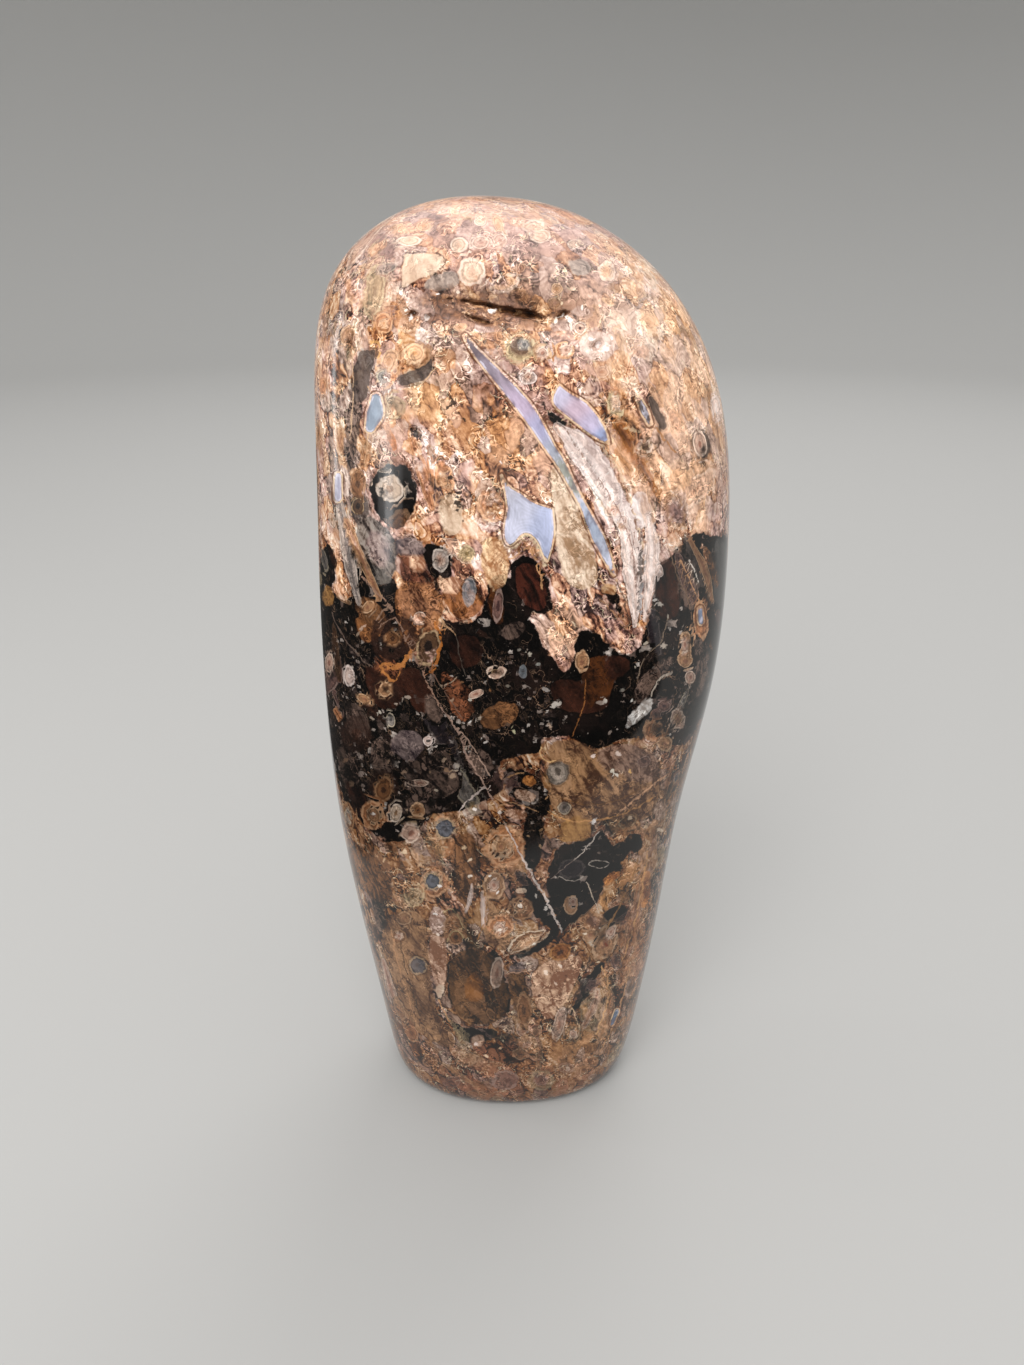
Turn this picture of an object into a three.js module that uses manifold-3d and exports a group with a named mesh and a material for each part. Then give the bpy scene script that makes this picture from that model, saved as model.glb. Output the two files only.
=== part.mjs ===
// A free-standing piece of petrified palm root mass: one stone, shaped by hand, polished all
// over and cut flat underneath. Millimetres, +Z up. The front, with the open crack, faces -Y.
// The origin is on the flat foot, under the middle of the stone.
import * as THREE from "three";
import { NURBSCurve } from "three/addons/curves/NURBSCurve.js";
import { mergeVertices } from "three/addons/utils/BufferGeometryUtils.js";
import Module from "manifold-3d";

const HEIGHT = 150;
const COLUMNS = 96;
const BANDS = 44;

// Control rows of the form, from the foot to the crown. Each gives how high it lies, how far it
// reaches to the left, right, front and back, and how square its oval is: 2 is an ellipse. The
// first three turn the rounded rim of the foot, and the last three close the crown.
const CONTROL_ROWS = [
  { height: 0, left: -18, right: 17, front: -12, back: 12, square: 2.1 },
  { height: 0, left: -20.5, right: 19.5, front: -14, back: 14, square: 2.15 },
  { height: 2.5, left: -22.3, right: 21.5, front: -15.6, back: 15, square: 2.2 },
  { height: 16, left: -23.8, right: 23.6, front: -16.6, back: 16.4, square: 2.25 },
  { height: 38, left: -27.4, right: 26.6, front: -18, back: 18.2, square: 2.35 },
  { height: 60, left: -30.4, right: 28.2, front: -19.2, back: 20, square: 2.45 },
  { height: 82, left: -30.5, right: 32.6, front: -20.4, back: 21, square: 2.55 },
  { height: 102, left: -29.4, right: 32.6, front: -21.2, back: 21.4, square: 2.6 },
  { height: 120, left: -28.8, right: 31.2, front: -21.2, back: 21, square: 2.6 },
  { height: 134, left: -27.8, right: 26.2, front: -19.5, back: 19.6, square: 2.5 },
  { height: 144.5, left: -23.2, right: 17, front: -15, back: 16, square: 2.35 },
  { height: HEIGHT, left: -12.6, right: 5, front: -7.5, back: 9, square: 2.15 },
  { height: HEIGHT, left: -4.5, right: -4.5, front: 0.5, back: 0.5, square: 2 },
];

// Soft swells and worn flats that the grinding left. Each is a bell of the given reach round a
// point, and raises the surface there, or lowers it where rise is negative.
const SWELLS = [
  { at: [-25, -15, 118], reach: 15, rise: -0.8 },
  { at: [14, -19, 92], reach: 20, rise: 0.5 },
  { at: [-12, -18, 62], reach: 20, rise: -0.5 },
  { at: [20, -12, 40], reach: 18, rise: -0.4 },
  { at: [-4, -16, 22], reach: 14, rise: 0.4 },
  { at: [-28, 8, 84], reach: 20, rise: -0.4 },
  { at: [12, 20, 112], reach: 22, rise: 0.8 },
  { at: [-10, 20, 66], reach: 20, rise: -0.8 },
  { at: [30, 6, 100], reach: 18, rise: -0.4 },
  { at: [14, 16, 34], reach: 18, rise: 0.5 },
];

// The long shallow hollow across the front of the crown, where the stone was too open to grind
// flush. Its floor is half as deep at these half-sizes.
const HOLLOW = { x: -2.5, height: 137.4, halfWidth: 10.5, halfHeight: 2.3, deep: 1.9, tilt: -6 };

// What stays open in the polished face, each a flattened egg sunk into the front: the crack in the
// hollow, a short one under it and small pits. Sizes are length, width and depth, tilt in degrees.
const OPENINGS = [
  { x: -1.5, height: 137.4, long: 11, wide: 1, deep: 2, tilt: -11 },
  { x: 0.6, height: 137, long: 5.6, wide: 1.5, deep: 3, tilt: -9 },
  { x: -4.1, height: 135.9, long: 3.4, wide: 0.8, deep: 1.6, tilt: -17 },
  { x: -12.6, height: 136.5, long: 1.6, wide: 1.1, deep: 1, tilt: 20 },
  { x: -10.4, height: 136.1, long: 1.3, wide: 1, deep: 1, tilt: -30 },
  { x: 6.3, height: 136.6, long: 1.8, wide: 1, deep: 1.2, tilt: 25 },
  { x: -12.4, height: 122.6, long: 1.9, wide: 1.2, deep: 1.1, tilt: -20 },
  { x: 10.6, height: 133, long: 1.5, wide: 1.1, deep: 0.9, tilt: 10 },
];

const DEGREE = 3;
const HALF_DROP = Math.log(2);

// A clamped knot list with evenly spread inner knots, for the given count of control points.
function clampedKnots(count) {
  const spans = count - DEGREE;
  const inner = Array.from({ length: spans + 1 }, (_, i) => i / spans);
  return [...Array(DEGREE).fill(0), ...inner, ...Array(DEGREE).fill(1)];
}

// The control rows blended into smooth curves: one carries the reach to the left and right with the
// height, the other the reach to the front and back with the squareness.
const knots = clampedKnots(CONTROL_ROWS.length);
const widthCurve = new NURBSCurve(
  DEGREE,
  knots,
  CONTROL_ROWS.map((row) => new THREE.Vector4(row.left, row.right, row.height, 1)),
);
const depthCurve = new NURBSCurve(
  DEGREE,
  knots,
  CONTROL_ROWS.map((row) => new THREE.Vector4(row.front, row.back, row.square, 1)),
);

// How far the hollow sinks the front at a point: a bell over its tilted length and height, only on
// the side that faces the front.
function hollowDepth(point) {
  if (point.y > 0) return 0;
  const turn = THREE.MathUtils.degToRad(HOLLOW.tilt);
  const across = point.x - HOLLOW.x;
  const up = point.z - HOLLOW.height;
  const along = (across * Math.cos(turn) + up * Math.sin(turn)) / HOLLOW.halfWidth;
  const over = (up * Math.cos(turn) - across * Math.sin(turn)) / HOLLOW.halfHeight;
  return HOLLOW.deep * Math.exp(-HALF_DROP * (along ** 2 + over ** 2));
}

// The stone's surface at a share v of the way from foot to crown, and at a turn round it. The oval
// is |x|^n + |y|^n = 1 in polar form, stretched to the reach of its row. The swells then move the
// point away from the stone's axis or towards it, and fade out at the foot, which stays flat.
function surfacePoint(v, turn) {
  const wide = widthCurve.getPoint(v);
  const deep = depthCurve.getPoint(v);
  const [left, right, height] = [wide.x, wide.y, wide.z];
  const [front, back, square] = [deep.x, deep.y, deep.z];
  const cos = Math.cos(turn);
  const sin = Math.sin(turn);
  const round = (Math.abs(cos) ** square + Math.abs(sin) ** square) ** (-1 / square);
  const point = new THREE.Vector3(
    (left + right) / 2 + ((right - left) / 2) * cos * round,
    (front + back) / 2 + ((back - front) / 2) * sin * round,
    height,
  );
  const sideways = new THREE.Vector3(cos, sin, 0);
  for (const swell of SWELLS) {
    const away = point.distanceTo(new THREE.Vector3(...swell.at)) / swell.reach;
    const fade = Math.min(1, height / swell.reach);
    point.addScaledVector(sideways, swell.rise * fade * Math.exp(-HALF_DROP * away ** 2));
  }
  point.y += hollowDepth(point);
  return point;
}

// The whole skin: rings of points from the rim of the flat foot up to the crown, closed by one
// point in the middle of the foot and one on top.
function stoneSkin() {
  const points = [];
  for (let band = 0; band < BANDS; band += 1) {
    for (let column = 0; column < COLUMNS; column += 1) {
      points.push(surfacePoint(band / BANDS, (column / COLUMNS) * 2 * Math.PI));
    }
  }
  const foot = points.push(new THREE.Vector3(0, 0, 0)) - 1;
  const crown = points.push(surfacePoint(1, 0)) - 1;
  const faces = [];
  for (let column = 0; column < COLUMNS; column += 1) {
    const next = (column + 1) % COLUMNS;
    for (let band = 0; band < BANDS - 1; band += 1) {
      const low = band * COLUMNS;
      const high = low + COLUMNS;
      faces.push(low + column, low + next, high + next);
      faces.push(low + column, high + next, high + column);
    }
    const top = (BANDS - 1) * COLUMNS;
    faces.push(foot, next, column);
    faces.push(top + column, top + next, crown);
  }
  const skin = new THREE.BufferGeometry().setFromPoints(points);
  skin.setIndex(faces);
  return skin;
}

// The place on the skin straight behind a point in front of the stone.
function frontAt(skinMesh, x, height) {
  const START = -100;
  const ray = new THREE.Raycaster(new THREE.Vector3(x, START, height), new THREE.Vector3(0, 1, 0));
  return ray.intersectObject(skinMesh)[0].point;
}

// One flattened egg, lying on the front with its long axis level and then tilted.
function openingTool(opening, skinMesh) {
  const FINENESS = 1;
  const egg = new THREE.IcosahedronGeometry(1, FINENESS);
  egg.scale(opening.long / 2, opening.deep, opening.wide / 2);
  egg.rotateY(-THREE.MathUtils.degToRad(opening.tilt));
  const place = frontAt(skinMesh, opening.x, opening.height);
  egg.translate(place.x, place.y, place.z);
  return egg;
}

const wasm = await Module();
wasm.setup();

// A closed geometry as a solid that can be cut.
function solidOf(geometry) {
  const plain = geometry.clone();
  plain.deleteAttribute("normal");
  plain.deleteAttribute("uv");
  const merged = mergeVertices(plain);
  return new wasm.Manifold(
    new wasm.Mesh({
      numProp: 3,
      vertProperties: merged.attributes.position.array,
      triVerts: new Uint32Array(merged.index.array),
    }),
  );
}

// A solid back as a geometry.
function geometryOf(solid) {
  const { vertProperties, triVerts } = solid.getMesh();
  const geometry = new THREE.BufferGeometry();
  geometry.setAttribute("position", new THREE.BufferAttribute(vertProperties, 3));
  geometry.setIndex(new THREE.BufferAttribute(triVerts, 1));
  geometry.computeVertexNormals();
  return geometry;
}

// The stone: the skin filled, with its crack and pits cut out of the front.
function makeStone() {
  const polished = new THREE.MeshStandardMaterial({ color: 0x8a5a38, roughness: 0.15, metalness: 0 });
  const skin = stoneSkin();
  const skinMesh = new THREE.Mesh(skin, polished);
  let solid = solidOf(skin);
  for (const opening of OPENINGS) {
    solid = solid.subtract(solidOf(openingTool(opening, skinMesh)));
  }
  const stone = new THREE.Mesh(geometryOf(solid), polished);
  stone.name = "stone";
  return stone;
}

const petrifiedPalmWood = new THREE.Group();
petrifiedPalmWood.add(makeStone());

export default petrifiedPalmWood;
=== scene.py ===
# %% [markdown]
# # Petrified palm wood, a polished freeform
# The stone is a piece of an ancient mat of palm roots that silica has turned to agate and jasper.
# It was ground by hand into a tall shape, polished all over and cut flat underneath to stand.
# Everything is worked out in millimetres in the stone's own frame, +Z up, with the front towards
# -Y, and is turned into metres only where Blender takes it.

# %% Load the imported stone
import math

import bpy
import numpy as np
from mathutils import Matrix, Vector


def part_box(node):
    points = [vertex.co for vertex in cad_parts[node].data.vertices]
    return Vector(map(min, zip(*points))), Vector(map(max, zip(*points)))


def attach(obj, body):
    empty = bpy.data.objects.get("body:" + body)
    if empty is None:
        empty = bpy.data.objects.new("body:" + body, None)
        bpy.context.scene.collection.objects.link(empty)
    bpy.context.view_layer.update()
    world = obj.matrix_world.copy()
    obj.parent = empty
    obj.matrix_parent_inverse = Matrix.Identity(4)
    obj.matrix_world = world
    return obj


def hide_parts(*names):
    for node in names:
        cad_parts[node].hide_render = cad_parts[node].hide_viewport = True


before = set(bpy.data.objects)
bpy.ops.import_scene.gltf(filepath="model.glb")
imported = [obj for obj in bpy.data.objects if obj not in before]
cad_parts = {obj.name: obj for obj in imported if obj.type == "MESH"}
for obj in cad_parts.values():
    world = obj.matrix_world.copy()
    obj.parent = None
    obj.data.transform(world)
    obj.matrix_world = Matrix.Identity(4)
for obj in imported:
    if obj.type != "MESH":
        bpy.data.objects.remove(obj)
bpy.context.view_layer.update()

METRES = 0.001
stone_low, stone_high = (np.array(corner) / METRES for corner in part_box("stone"))
print("stone from", stone_low.round(1), "to", stone_high.round(1), "mm")

# %% [markdown]
# ## The camera
# A phone's main lens takes in as much as a 28 mm lens does on full frame. It was held close and
# tipped down, so the foot looks narrower than the crown, and more from above. The same numbers
# later tell where a mark that is seen at a pixel lies on the stone.

# %% Camera
PHOTO_SIZE = np.array([1024, 1365])
LENS = 28.0
SENSOR = 36.0
TIPPED_DOWN = math.radians(25)
CAMERA_DISTANCE = 172.5
AIM_SHARE = 0.5207


def add_object(name, data):
    """Makes an object of some data at the origin and links it to the scene."""
    made = bpy.data.objects.new(name, data)
    bpy.context.scene.collection.objects.link(made)
    return made


aim_height = AIM_SHARE * stone_high[2]
focal_pixels = LENS / SENSOR * PHOTO_SIZE.max()
look = np.array([0, math.cos(TIPPED_DOWN), -math.sin(TIPPED_DOWN)])
camera_up = np.array([0, math.sin(TIPPED_DOWN), math.cos(TIPPED_DOWN)])
camera_place = np.array([0, 0, aim_height]) - CAMERA_DISTANCE * look

camera_data = bpy.data.cameras.new("camera")
camera_data.lens = LENS
camera_data.sensor_width = SENSOR
camera_data.clip_start = 0.01
camera = add_object("camera", camera_data)
camera.location = camera_place * METRES
camera.rotation_euler = (math.pi / 2 - TIPPED_DOWN, 0, 0)
bpy.context.scene.camera = camera
print("camera", camera_place.round(1), "mm")

# %% [markdown]
# ## The form
# A hand-ground stone has no profile to turn or extrude, but it is smooth, so a spline suits it.
# Thirteen control rows say how far the stone reaches to each side at a height, and a cubic
# B-spline blends them. It never overshoots, so the skin has no ripples. The rows are those of
# the solid that this skin replaces, only on a much finer grid.

# %% Control rows of the form
# height, left, right, front, back, and how square the oval is (2 is an ellipse)
CONTROL_ROWS = np.array([
    (0, -18, 17, -12, 12, 2.1),
    (0, -20.5, 19.5, -14, 14, 2.15),
    (2.5, -22.3, 21.5, -15.6, 15, 2.2),
    (16, -23.8, 23.6, -16.6, 16.4, 2.25),
    (38, -27.4, 26.6, -18, 18.2, 2.35),
    (60, -30.4, 28.2, -19.2, 20, 2.45),
    (82, -30.5, 32.6, -20.4, 21, 2.55),
    (102, -29.4, 32.6, -21.2, 21.4, 2.6),
    (120, -28.8, 31.2, -21.2, 21, 2.6),
    (134, -27.8, 26.2, -19.5, 19.6, 2.5),
    (144.5, -23.2, 17, -15, 16, 2.35),
    (150, -12.6, 5, -7.5, 9, 2.15),
    (150, -4.5, -4.5, 0.5, 0.5, 2),
])
# place, reach and rise of the soft swells and worn flats
SWELLS = [
    ((-25, -15, 118), 15, -0.8),
    ((14, -19, 92), 20, 0.5),
    ((-12, -18, 62), 20, -0.5),
    ((20, -12, 40), 18, -0.4),
    ((-4, -16, 22), 14, 0.4),
    ((-28, 8, 84), 20, -0.4),
    ((12, 20, 112), 22, 0.8),
    ((-10, 20, 66), 20, -0.8),
    ((30, 6, 100), 18, -0.4),
    ((14, 16, 34), 18, 0.5),
]
DEGREE = 3


def spline_weights(share):
    """How much each control row counts at a share of the way up.

    Cox and de Boor's recursion: a weight of degree d is the sum of two neighbours of degree
    d - 1, each scaled by how far the share is into its span of knots.
    """
    inner = np.linspace(0, 1, len(CONTROL_ROWS) - DEGREE + 1)
    knots = np.concatenate([np.zeros(DEGREE), inner, np.ones(DEGREE)])
    share = np.clip(share, 0, 1 - 1e-12)
    weights = [((low <= share) & (share < high)) * 1.0 for low, high in zip(knots, knots[1:])]
    for degree in range(1, DEGREE + 1):
        raised = []
        for i in range(len(weights) - 1):
            rising, falling = knots[i + degree] - knots[i], knots[i + degree + 1] - knots[i + 1]
            up = (share - knots[i]) / rising if rising else 0.0
            down = (knots[i + degree + 1] - share) / falling if falling else 0.0
            raised.append(up * weights[i] + down * weights[i + 1])
        weights = raised
    return np.stack(weights, -1)


def bell(distance):
    """A bell curve that is 1 in the middle and a half at distance 1."""
    return np.exp(-math.log(2) * distance ** 2)


def stone_form(share, turn):
    """Points of the smooth skin at a share of the way up and a turn round the stone.

    Each level is the oval |x|^n + |y|^n = 1 in polar form, stretched to the row's reach. Then each
    swell moves the points away from the axis by its rise times a bell round its place.
    """
    row = np.moveaxis(spline_weights(share) @ CONTROL_ROWS, -1, 0)
    height, left, right, front, back, square = row
    cos, sin = np.cos(turn), np.sin(turn)
    around = (np.abs(cos) ** square + np.abs(sin) ** square) ** (-1 / square)
    points = np.stack([
        (left + right) / 2 + (right - left) / 2 * cos * around,
        (front + back) / 2 + (back - front) / 2 * sin * around,
        height + 0 * turn,
    ], -1)
    sideways = np.stack([cos, sin, 0 * turn], -1) + 0 * points
    for place, reach, rise in SWELLS:
        away = np.linalg.norm(points - place, axis=-1) / reach
        fade = np.minimum(1, points[..., 2] / reach)
        points = points + (rise * fade * bell(away))[..., None] * sideways
    return points


# %% [markdown]
# ## The hollow and the open crack
# Across the front of the crown the stone was too porous to grind flush: a long shallow hollow is
# left there, and in it a dark slot. The hollow is a bell, and each opening is an egg whose lower
# half is sunk into the skin. A small wobble keeps the walls from looking drilled. The finish is
# raw there, not polished.

# %% Hollow, crack and pits
HOLLOW = {"x": -2.5, "height": 137.4, "half_width": 10.5, "half_height": 2.3, "deep": 1.9, "tilt": -6}
# x, height, long, wide, deep, tilt
OPENINGS = [
    (-1.5, 137.3, 12, 0.7, 1.2, -10),
    (1.0, 136.7, 6.2, 1.1, 1.7, -8),
    (-4.1, 135.9, 3.6, 0.7, 1.2, -17),
    (-12.6, 136.5, 1.6, 1.1, 1, 20),
    (-10.4, 136.1, 1.3, 1, 1, -30),
    (6.3, 136.6, 1.8, 1, 1.2, 25),
    (-12.4, 122.6, 1.9, 1.2, 1.1, -20),
    (10.6, 133, 1.5, 1.1, 0.9, 10),
]
WOBBLE_LENGTH = 2.1
WOBBLE = 0.22
FARTHEST_RIM = 1.5


def tilted(points, x, height, tilt):
    """Distances from (x, height) along and across a line on the front that is tilted by degrees."""
    turn = math.radians(tilt)
    across, up = points[..., 0] - x, points[..., 2] - height
    return (
        across * math.cos(turn) + up * math.sin(turn),
        up * math.cos(turn) - across * math.sin(turn),
    )


def sink_openings(points):
    """The skin with its hollow and openings, and how raw and how open it is at each point.

    The hollow sinks by its depth times a bell of the distance. An egg sinks by its depth times
    the square root of 1 - r^2, where r is 1 at its rim, and r is wobbled by crossed sines.
    """
    on_front = points[..., 1] < 0
    along, across = tilted(points, HOLLOW["x"], HOLLOW["height"], HOLLOW["tilt"])
    raw = bell(np.hypot(along / HOLLOW["half_width"], across / HOLLOW["half_height"])) * on_front
    sunk = HOLLOW["deep"] * raw
    wave = 2 * math.pi / WOBBLE_LENGTH
    wobble = WOBBLE * np.sin(points[..., 0] * wave) * np.sin(points[..., 2] * wave * 1.3 + 1)
    opened = np.zeros_like(sunk)
    for x, height, long, wide, deep, tilt in OPENINGS:
        along, across = tilted(points, x, height, tilt)
        rim = np.hypot(along / (long / 2), across / (wide / 2))
        depth = deep * np.sqrt(np.clip(1 - (rim + wobble) ** 2, 0, None)) * on_front
        opened = np.maximum(opened, depth * (rim < FARTHEST_RIM))
    points = points.copy()
    points[..., 1] += sunk + opened
    return points, raw, opened


# %% [markdown]
# ## The grid
# The skin is a grid of levels and columns. The columns crowd together on the front, and the levels
# round the crack, where the eye goes first. The foot is a disc of shrinking copies of the lowest
# level, so that it too has points to carry the markings.

# %% Build the grid of the skin
COLUMNS = 276
LEVELS = 328
FOOT_RINGS = 18
FRONT_CROWDING = 0.42
CRACK_CROWDING = 2.2
CRACK_REACH = 3.2
PROFILE_STEPS = 4000


def crowded_shares(count):
    """Shares of the way up, evenly spaced along the front's profile, but closer near the crack."""
    fine = np.linspace(0, 1, PROFILE_STEPS)
    profile = stone_form(fine, np.full_like(fine, 1.5 * math.pi))
    step = np.linalg.norm(np.diff(profile, axis=0), axis=-1)
    middle = (profile[1:, 2] + profile[:-1, 2]) / 2
    weight = step * (1 + CRACK_CROWDING * bell((middle - HOLLOW["height"]) / CRACK_REACH))
    total = np.concatenate([[0], np.cumsum(weight)])
    return np.interp(np.linspace(0, total[-1], count + 1), total, fine)[:-1]


level_share, column_share = np.meshgrid(
    crowded_shares(LEVELS), np.linspace(0, 1, COLUMNS, endpoint=False), indexing="ij"
)
column_turn = 2 * math.pi * column_share - FRONT_CROWDING * np.cos(2 * math.pi * column_share)
smooth_skin = stone_form(level_share, column_turn)
skin, raw_grid, open_grid = sink_openings(smooth_skin)
ring_size = (np.arange(1, FOOT_RINGS) / FOOT_RINGS)[:, None, None]
foot_middle = skin[0].mean(0)
foot = foot_middle + ring_size * (skin[0] - foot_middle)
crown_point = stone_form(np.array([1.0]), np.array([0.0]))

points = np.concatenate([foot.reshape(-1, 3), skin.reshape(-1, 3), foot_middle[None], crown_point])
foot_count = foot.shape[0] * COLUMNS
raw = np.concatenate([np.zeros(foot_count), raw_grid.ravel(), [0, 0]])
opened = np.concatenate([np.zeros(foot_count), open_grid.ravel(), [0, 0]])
row_count = FOOT_RINGS - 1 + LEVELS
point_count = len(points)
print(point_count, "points")

# %% Faces of the grid
def ring_quads(rows, columns):
    """The faces between the neighbouring rings of a grid, as four point numbers each."""
    row, column = np.meshgrid(np.arange(rows - 1), np.arange(columns), indexing="ij")
    lower, upper, beside = row * columns, (row + 1) * columns, (column + 1) % columns
    corners = [lower + column, lower + beside, upper + beside, upper + column]
    return np.stack(corners, -1).reshape(-1, 4)


quads = ring_quads(row_count, COLUMNS)
ring = np.arange(COLUMNS)
next_ring = (ring + 1) % COLUMNS
top_row = (row_count - 1) * COLUMNS
foot_pole, crown_pole = row_count * COLUMNS, row_count * COLUMNS + 1
foot_fan = np.stack([np.full(COLUMNS, foot_pole), next_ring, ring], -1)
crown_fan = np.stack([top_row + ring, top_row + next_ring, np.full(COLUMNS, crown_pole)], -1)
faces = quads.tolist() + foot_fan.tolist() + crown_fan.tolist()
print(2 * len(quads) + 2 * COLUMNS, "triangles")

# %% [markdown]
# ## Seeing the stone as the camera does
# The named markings are given by the pixel where each is seen. Every point of the skin is looked
# up through the camera, so a marking is worked out on the stone itself and stays there from any
# side. Points that face away get the markings that are given all round.

# %% Pixels, scale and facing of every point
CLEARLY_FACING = 0.12


def see(places):
    """The pixel where the camera sees each place, and how many millimetres a pixel is there."""
    offset = places - camera_place
    away = offset @ look
    pixel = np.stack([offset[..., 0], -(offset @ camera_up)], -1) * focal_pixels / away[..., None]
    return pixel + PHOTO_SIZE / 2, away / focal_pixels


def smooth(value, low, high):
    """An S-shaped rise from 0 at low to 1 at high."""
    share = np.clip((value - low) / (high - low), 0, 1)
    return share * share * (3 - 2 * share)


rising = np.gradient(smooth_skin, axis=0)
turning = (np.roll(smooth_skin, -1, 1) - np.roll(smooth_skin, 1, 1)) / 2
outward = np.cross(turning, rising).reshape(-1, 3)
downward = np.tile([0, 0, -1.0], (foot_count, 1))
outward = np.concatenate([downward, outward, [[0, 0, -1.0], [0, 0, 1.0]]])
outward /= np.linalg.norm(outward, axis=-1, keepdims=True) + 1e-12
pixel, pixel_size = see(points)
towards_camera = camera_place - points
towards_camera /= np.linalg.norm(towards_camera, axis=-1, keepdims=True)
facing = np.einsum("ij,ij->i", outward, towards_camera)
seen = smooth(facing, 0.0, CLEARLY_FACING)
front = np.flatnonzero(facing > 0)
front_pixel = pixel[front]
front_size = pixel_size[front]
print("stone spans pixels", front_pixel.min(0).round(), "to", front_pixel.max(0).round())


# %% [markdown]
# ## Fields
# A marking with its own outline becomes a field: its depth inside the outline in millimetres,
# negative outside. A field is smooth, so the grid can carry it, and the finish cuts it at zero with
# a little noise for a crisp, ragged edge. A strand gives the offset from its middle line instead,
# in half-widths. That changes evenly over the skin, so even a hair-thin line comes out sharp.
# Every outline and path is a list of pixels: x, y, x, y and so on.

# %% Field helpers
OUTSIDE = -5.0
FAR = 9.0
SEEN_WELL = 0.5
JUST_SEEN = 0.3


def cut_corners(path, closed):
    """A line, given as x, y, x, y and so on, with each corner cut off (Chaikin).

    Each side is kept from a quarter to three quarters of its length.
    """
    path = np.reshape(path, (-1, 2)).astype(float)
    following = np.roll(path, -1, 0) if closed else path[1:]
    current = path if closed else path[:-1]
    begin, end = 0.75 * current + 0.25 * following, 0.25 * current + 0.75 * following
    cut = np.stack([begin, end], 1).reshape(-1, 2)
    return cut if closed else np.concatenate([path[:1], cut[1:-1], path[-1:]])


def patch_depth(corners):
    """Depth of every point inside an outline of pixels, in millimetres, negative outside.

    The distance to the nearest edge, with the sign from counting how often a line to the right
    crosses the outline. Points that the camera doesn't see lie outside.
    """
    corners = cut_corners(corners, True)
    nearest = np.full(len(front), np.inf)
    inside = np.zeros(len(front), bool)
    for start, end in zip(corners, np.roll(corners, -1, 0)):
        edge = end - start
        offset = front_pixel - start
        share = np.clip(offset @ edge / (edge @ edge + 1e-9), 0, 1)
        nearest = np.minimum(nearest, np.linalg.norm(offset - share[:, None] * edge, axis=-1))
        crosses = (start[1] > front_pixel[:, 1]) != (end[1] > front_pixel[:, 1])
        lift = (front_pixel[:, 1] - start[1]) / (edge[1] if edge[1] else 1e-9)
        inside ^= crosses & (front_pixel[:, 0] < start[0] + lift * edge[0])
    depth = np.full(point_count, OUTSIDE)
    depth[front] = np.maximum(np.where(inside, nearest, -nearest) * front_size, OUTSIDE)
    return np.where(seen > JUST_SEEN, depth, OUTSIDE)


def strand_offset(path, widths):
    """Every point's offset across and past the ends of a strand in half-widths, and its distance.

    The nearest place on the strand's line gives the offset. It is split into a part across the line
    and a part along it, and both are divided by half the width that the strand has there. The
    distance is from the strand's edge, in millimetres.
    """
    path = cut_corners(path, False)
    lengths = np.linalg.norm(np.diff(path, axis=0), axis=-1)
    total = np.concatenate([[0], np.cumsum(lengths)])
    best = np.full(len(front), np.inf)
    across, along = np.zeros((2, len(front)))
    for start, end, begun, length in zip(path, path[1:], total, lengths):
        line = (end - start) / length
        offset = front_pixel - start
        reach = offset @ line
        held = np.clip(reach, 0, length)
        half = np.interp(begun + held, np.linspace(0, total[-1], len(widths)), widths) / 2
        side, beyond = offset[:, 0] * line[1] - offset[:, 1] * line[0], reach - held
        size = np.hypot(side, beyond) - half
        closer = size < best
        best = np.where(closer, size, best)
        across = np.where(closer, side / half, across)
        along = np.where(closer, beyond / half, along)
    field = np.full((3, point_count), FAR)
    field[:, front] = across, along, best * front_size
    return field


# %% [markdown]
# ## Colours
# Colours are given as six-digit codes, and turned into the linear values that light adds
# up in.

# %% Colour helper
def linear(code):
    """A colour code such as 'C08A5C' as linear red, green and blue."""
    channel = np.array([int(code[i:i + 2], 16) for i in (0, 2, 4)]) / 255
    return np.where(channel <= 0.04045, channel / 12.92, ((channel + 0.055) / 1.055) ** 2.4)


# %% [markdown]
# ## Black chalcedony
# A tilted slab of near-black chalcedony runs through the stone. Its limits are two planes, ragged
# with slow waves, so it goes right round. On the front it follows the outline seen there: tongues
# of tan stone hang into it, and smaller black pools lie round some roots.

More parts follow.
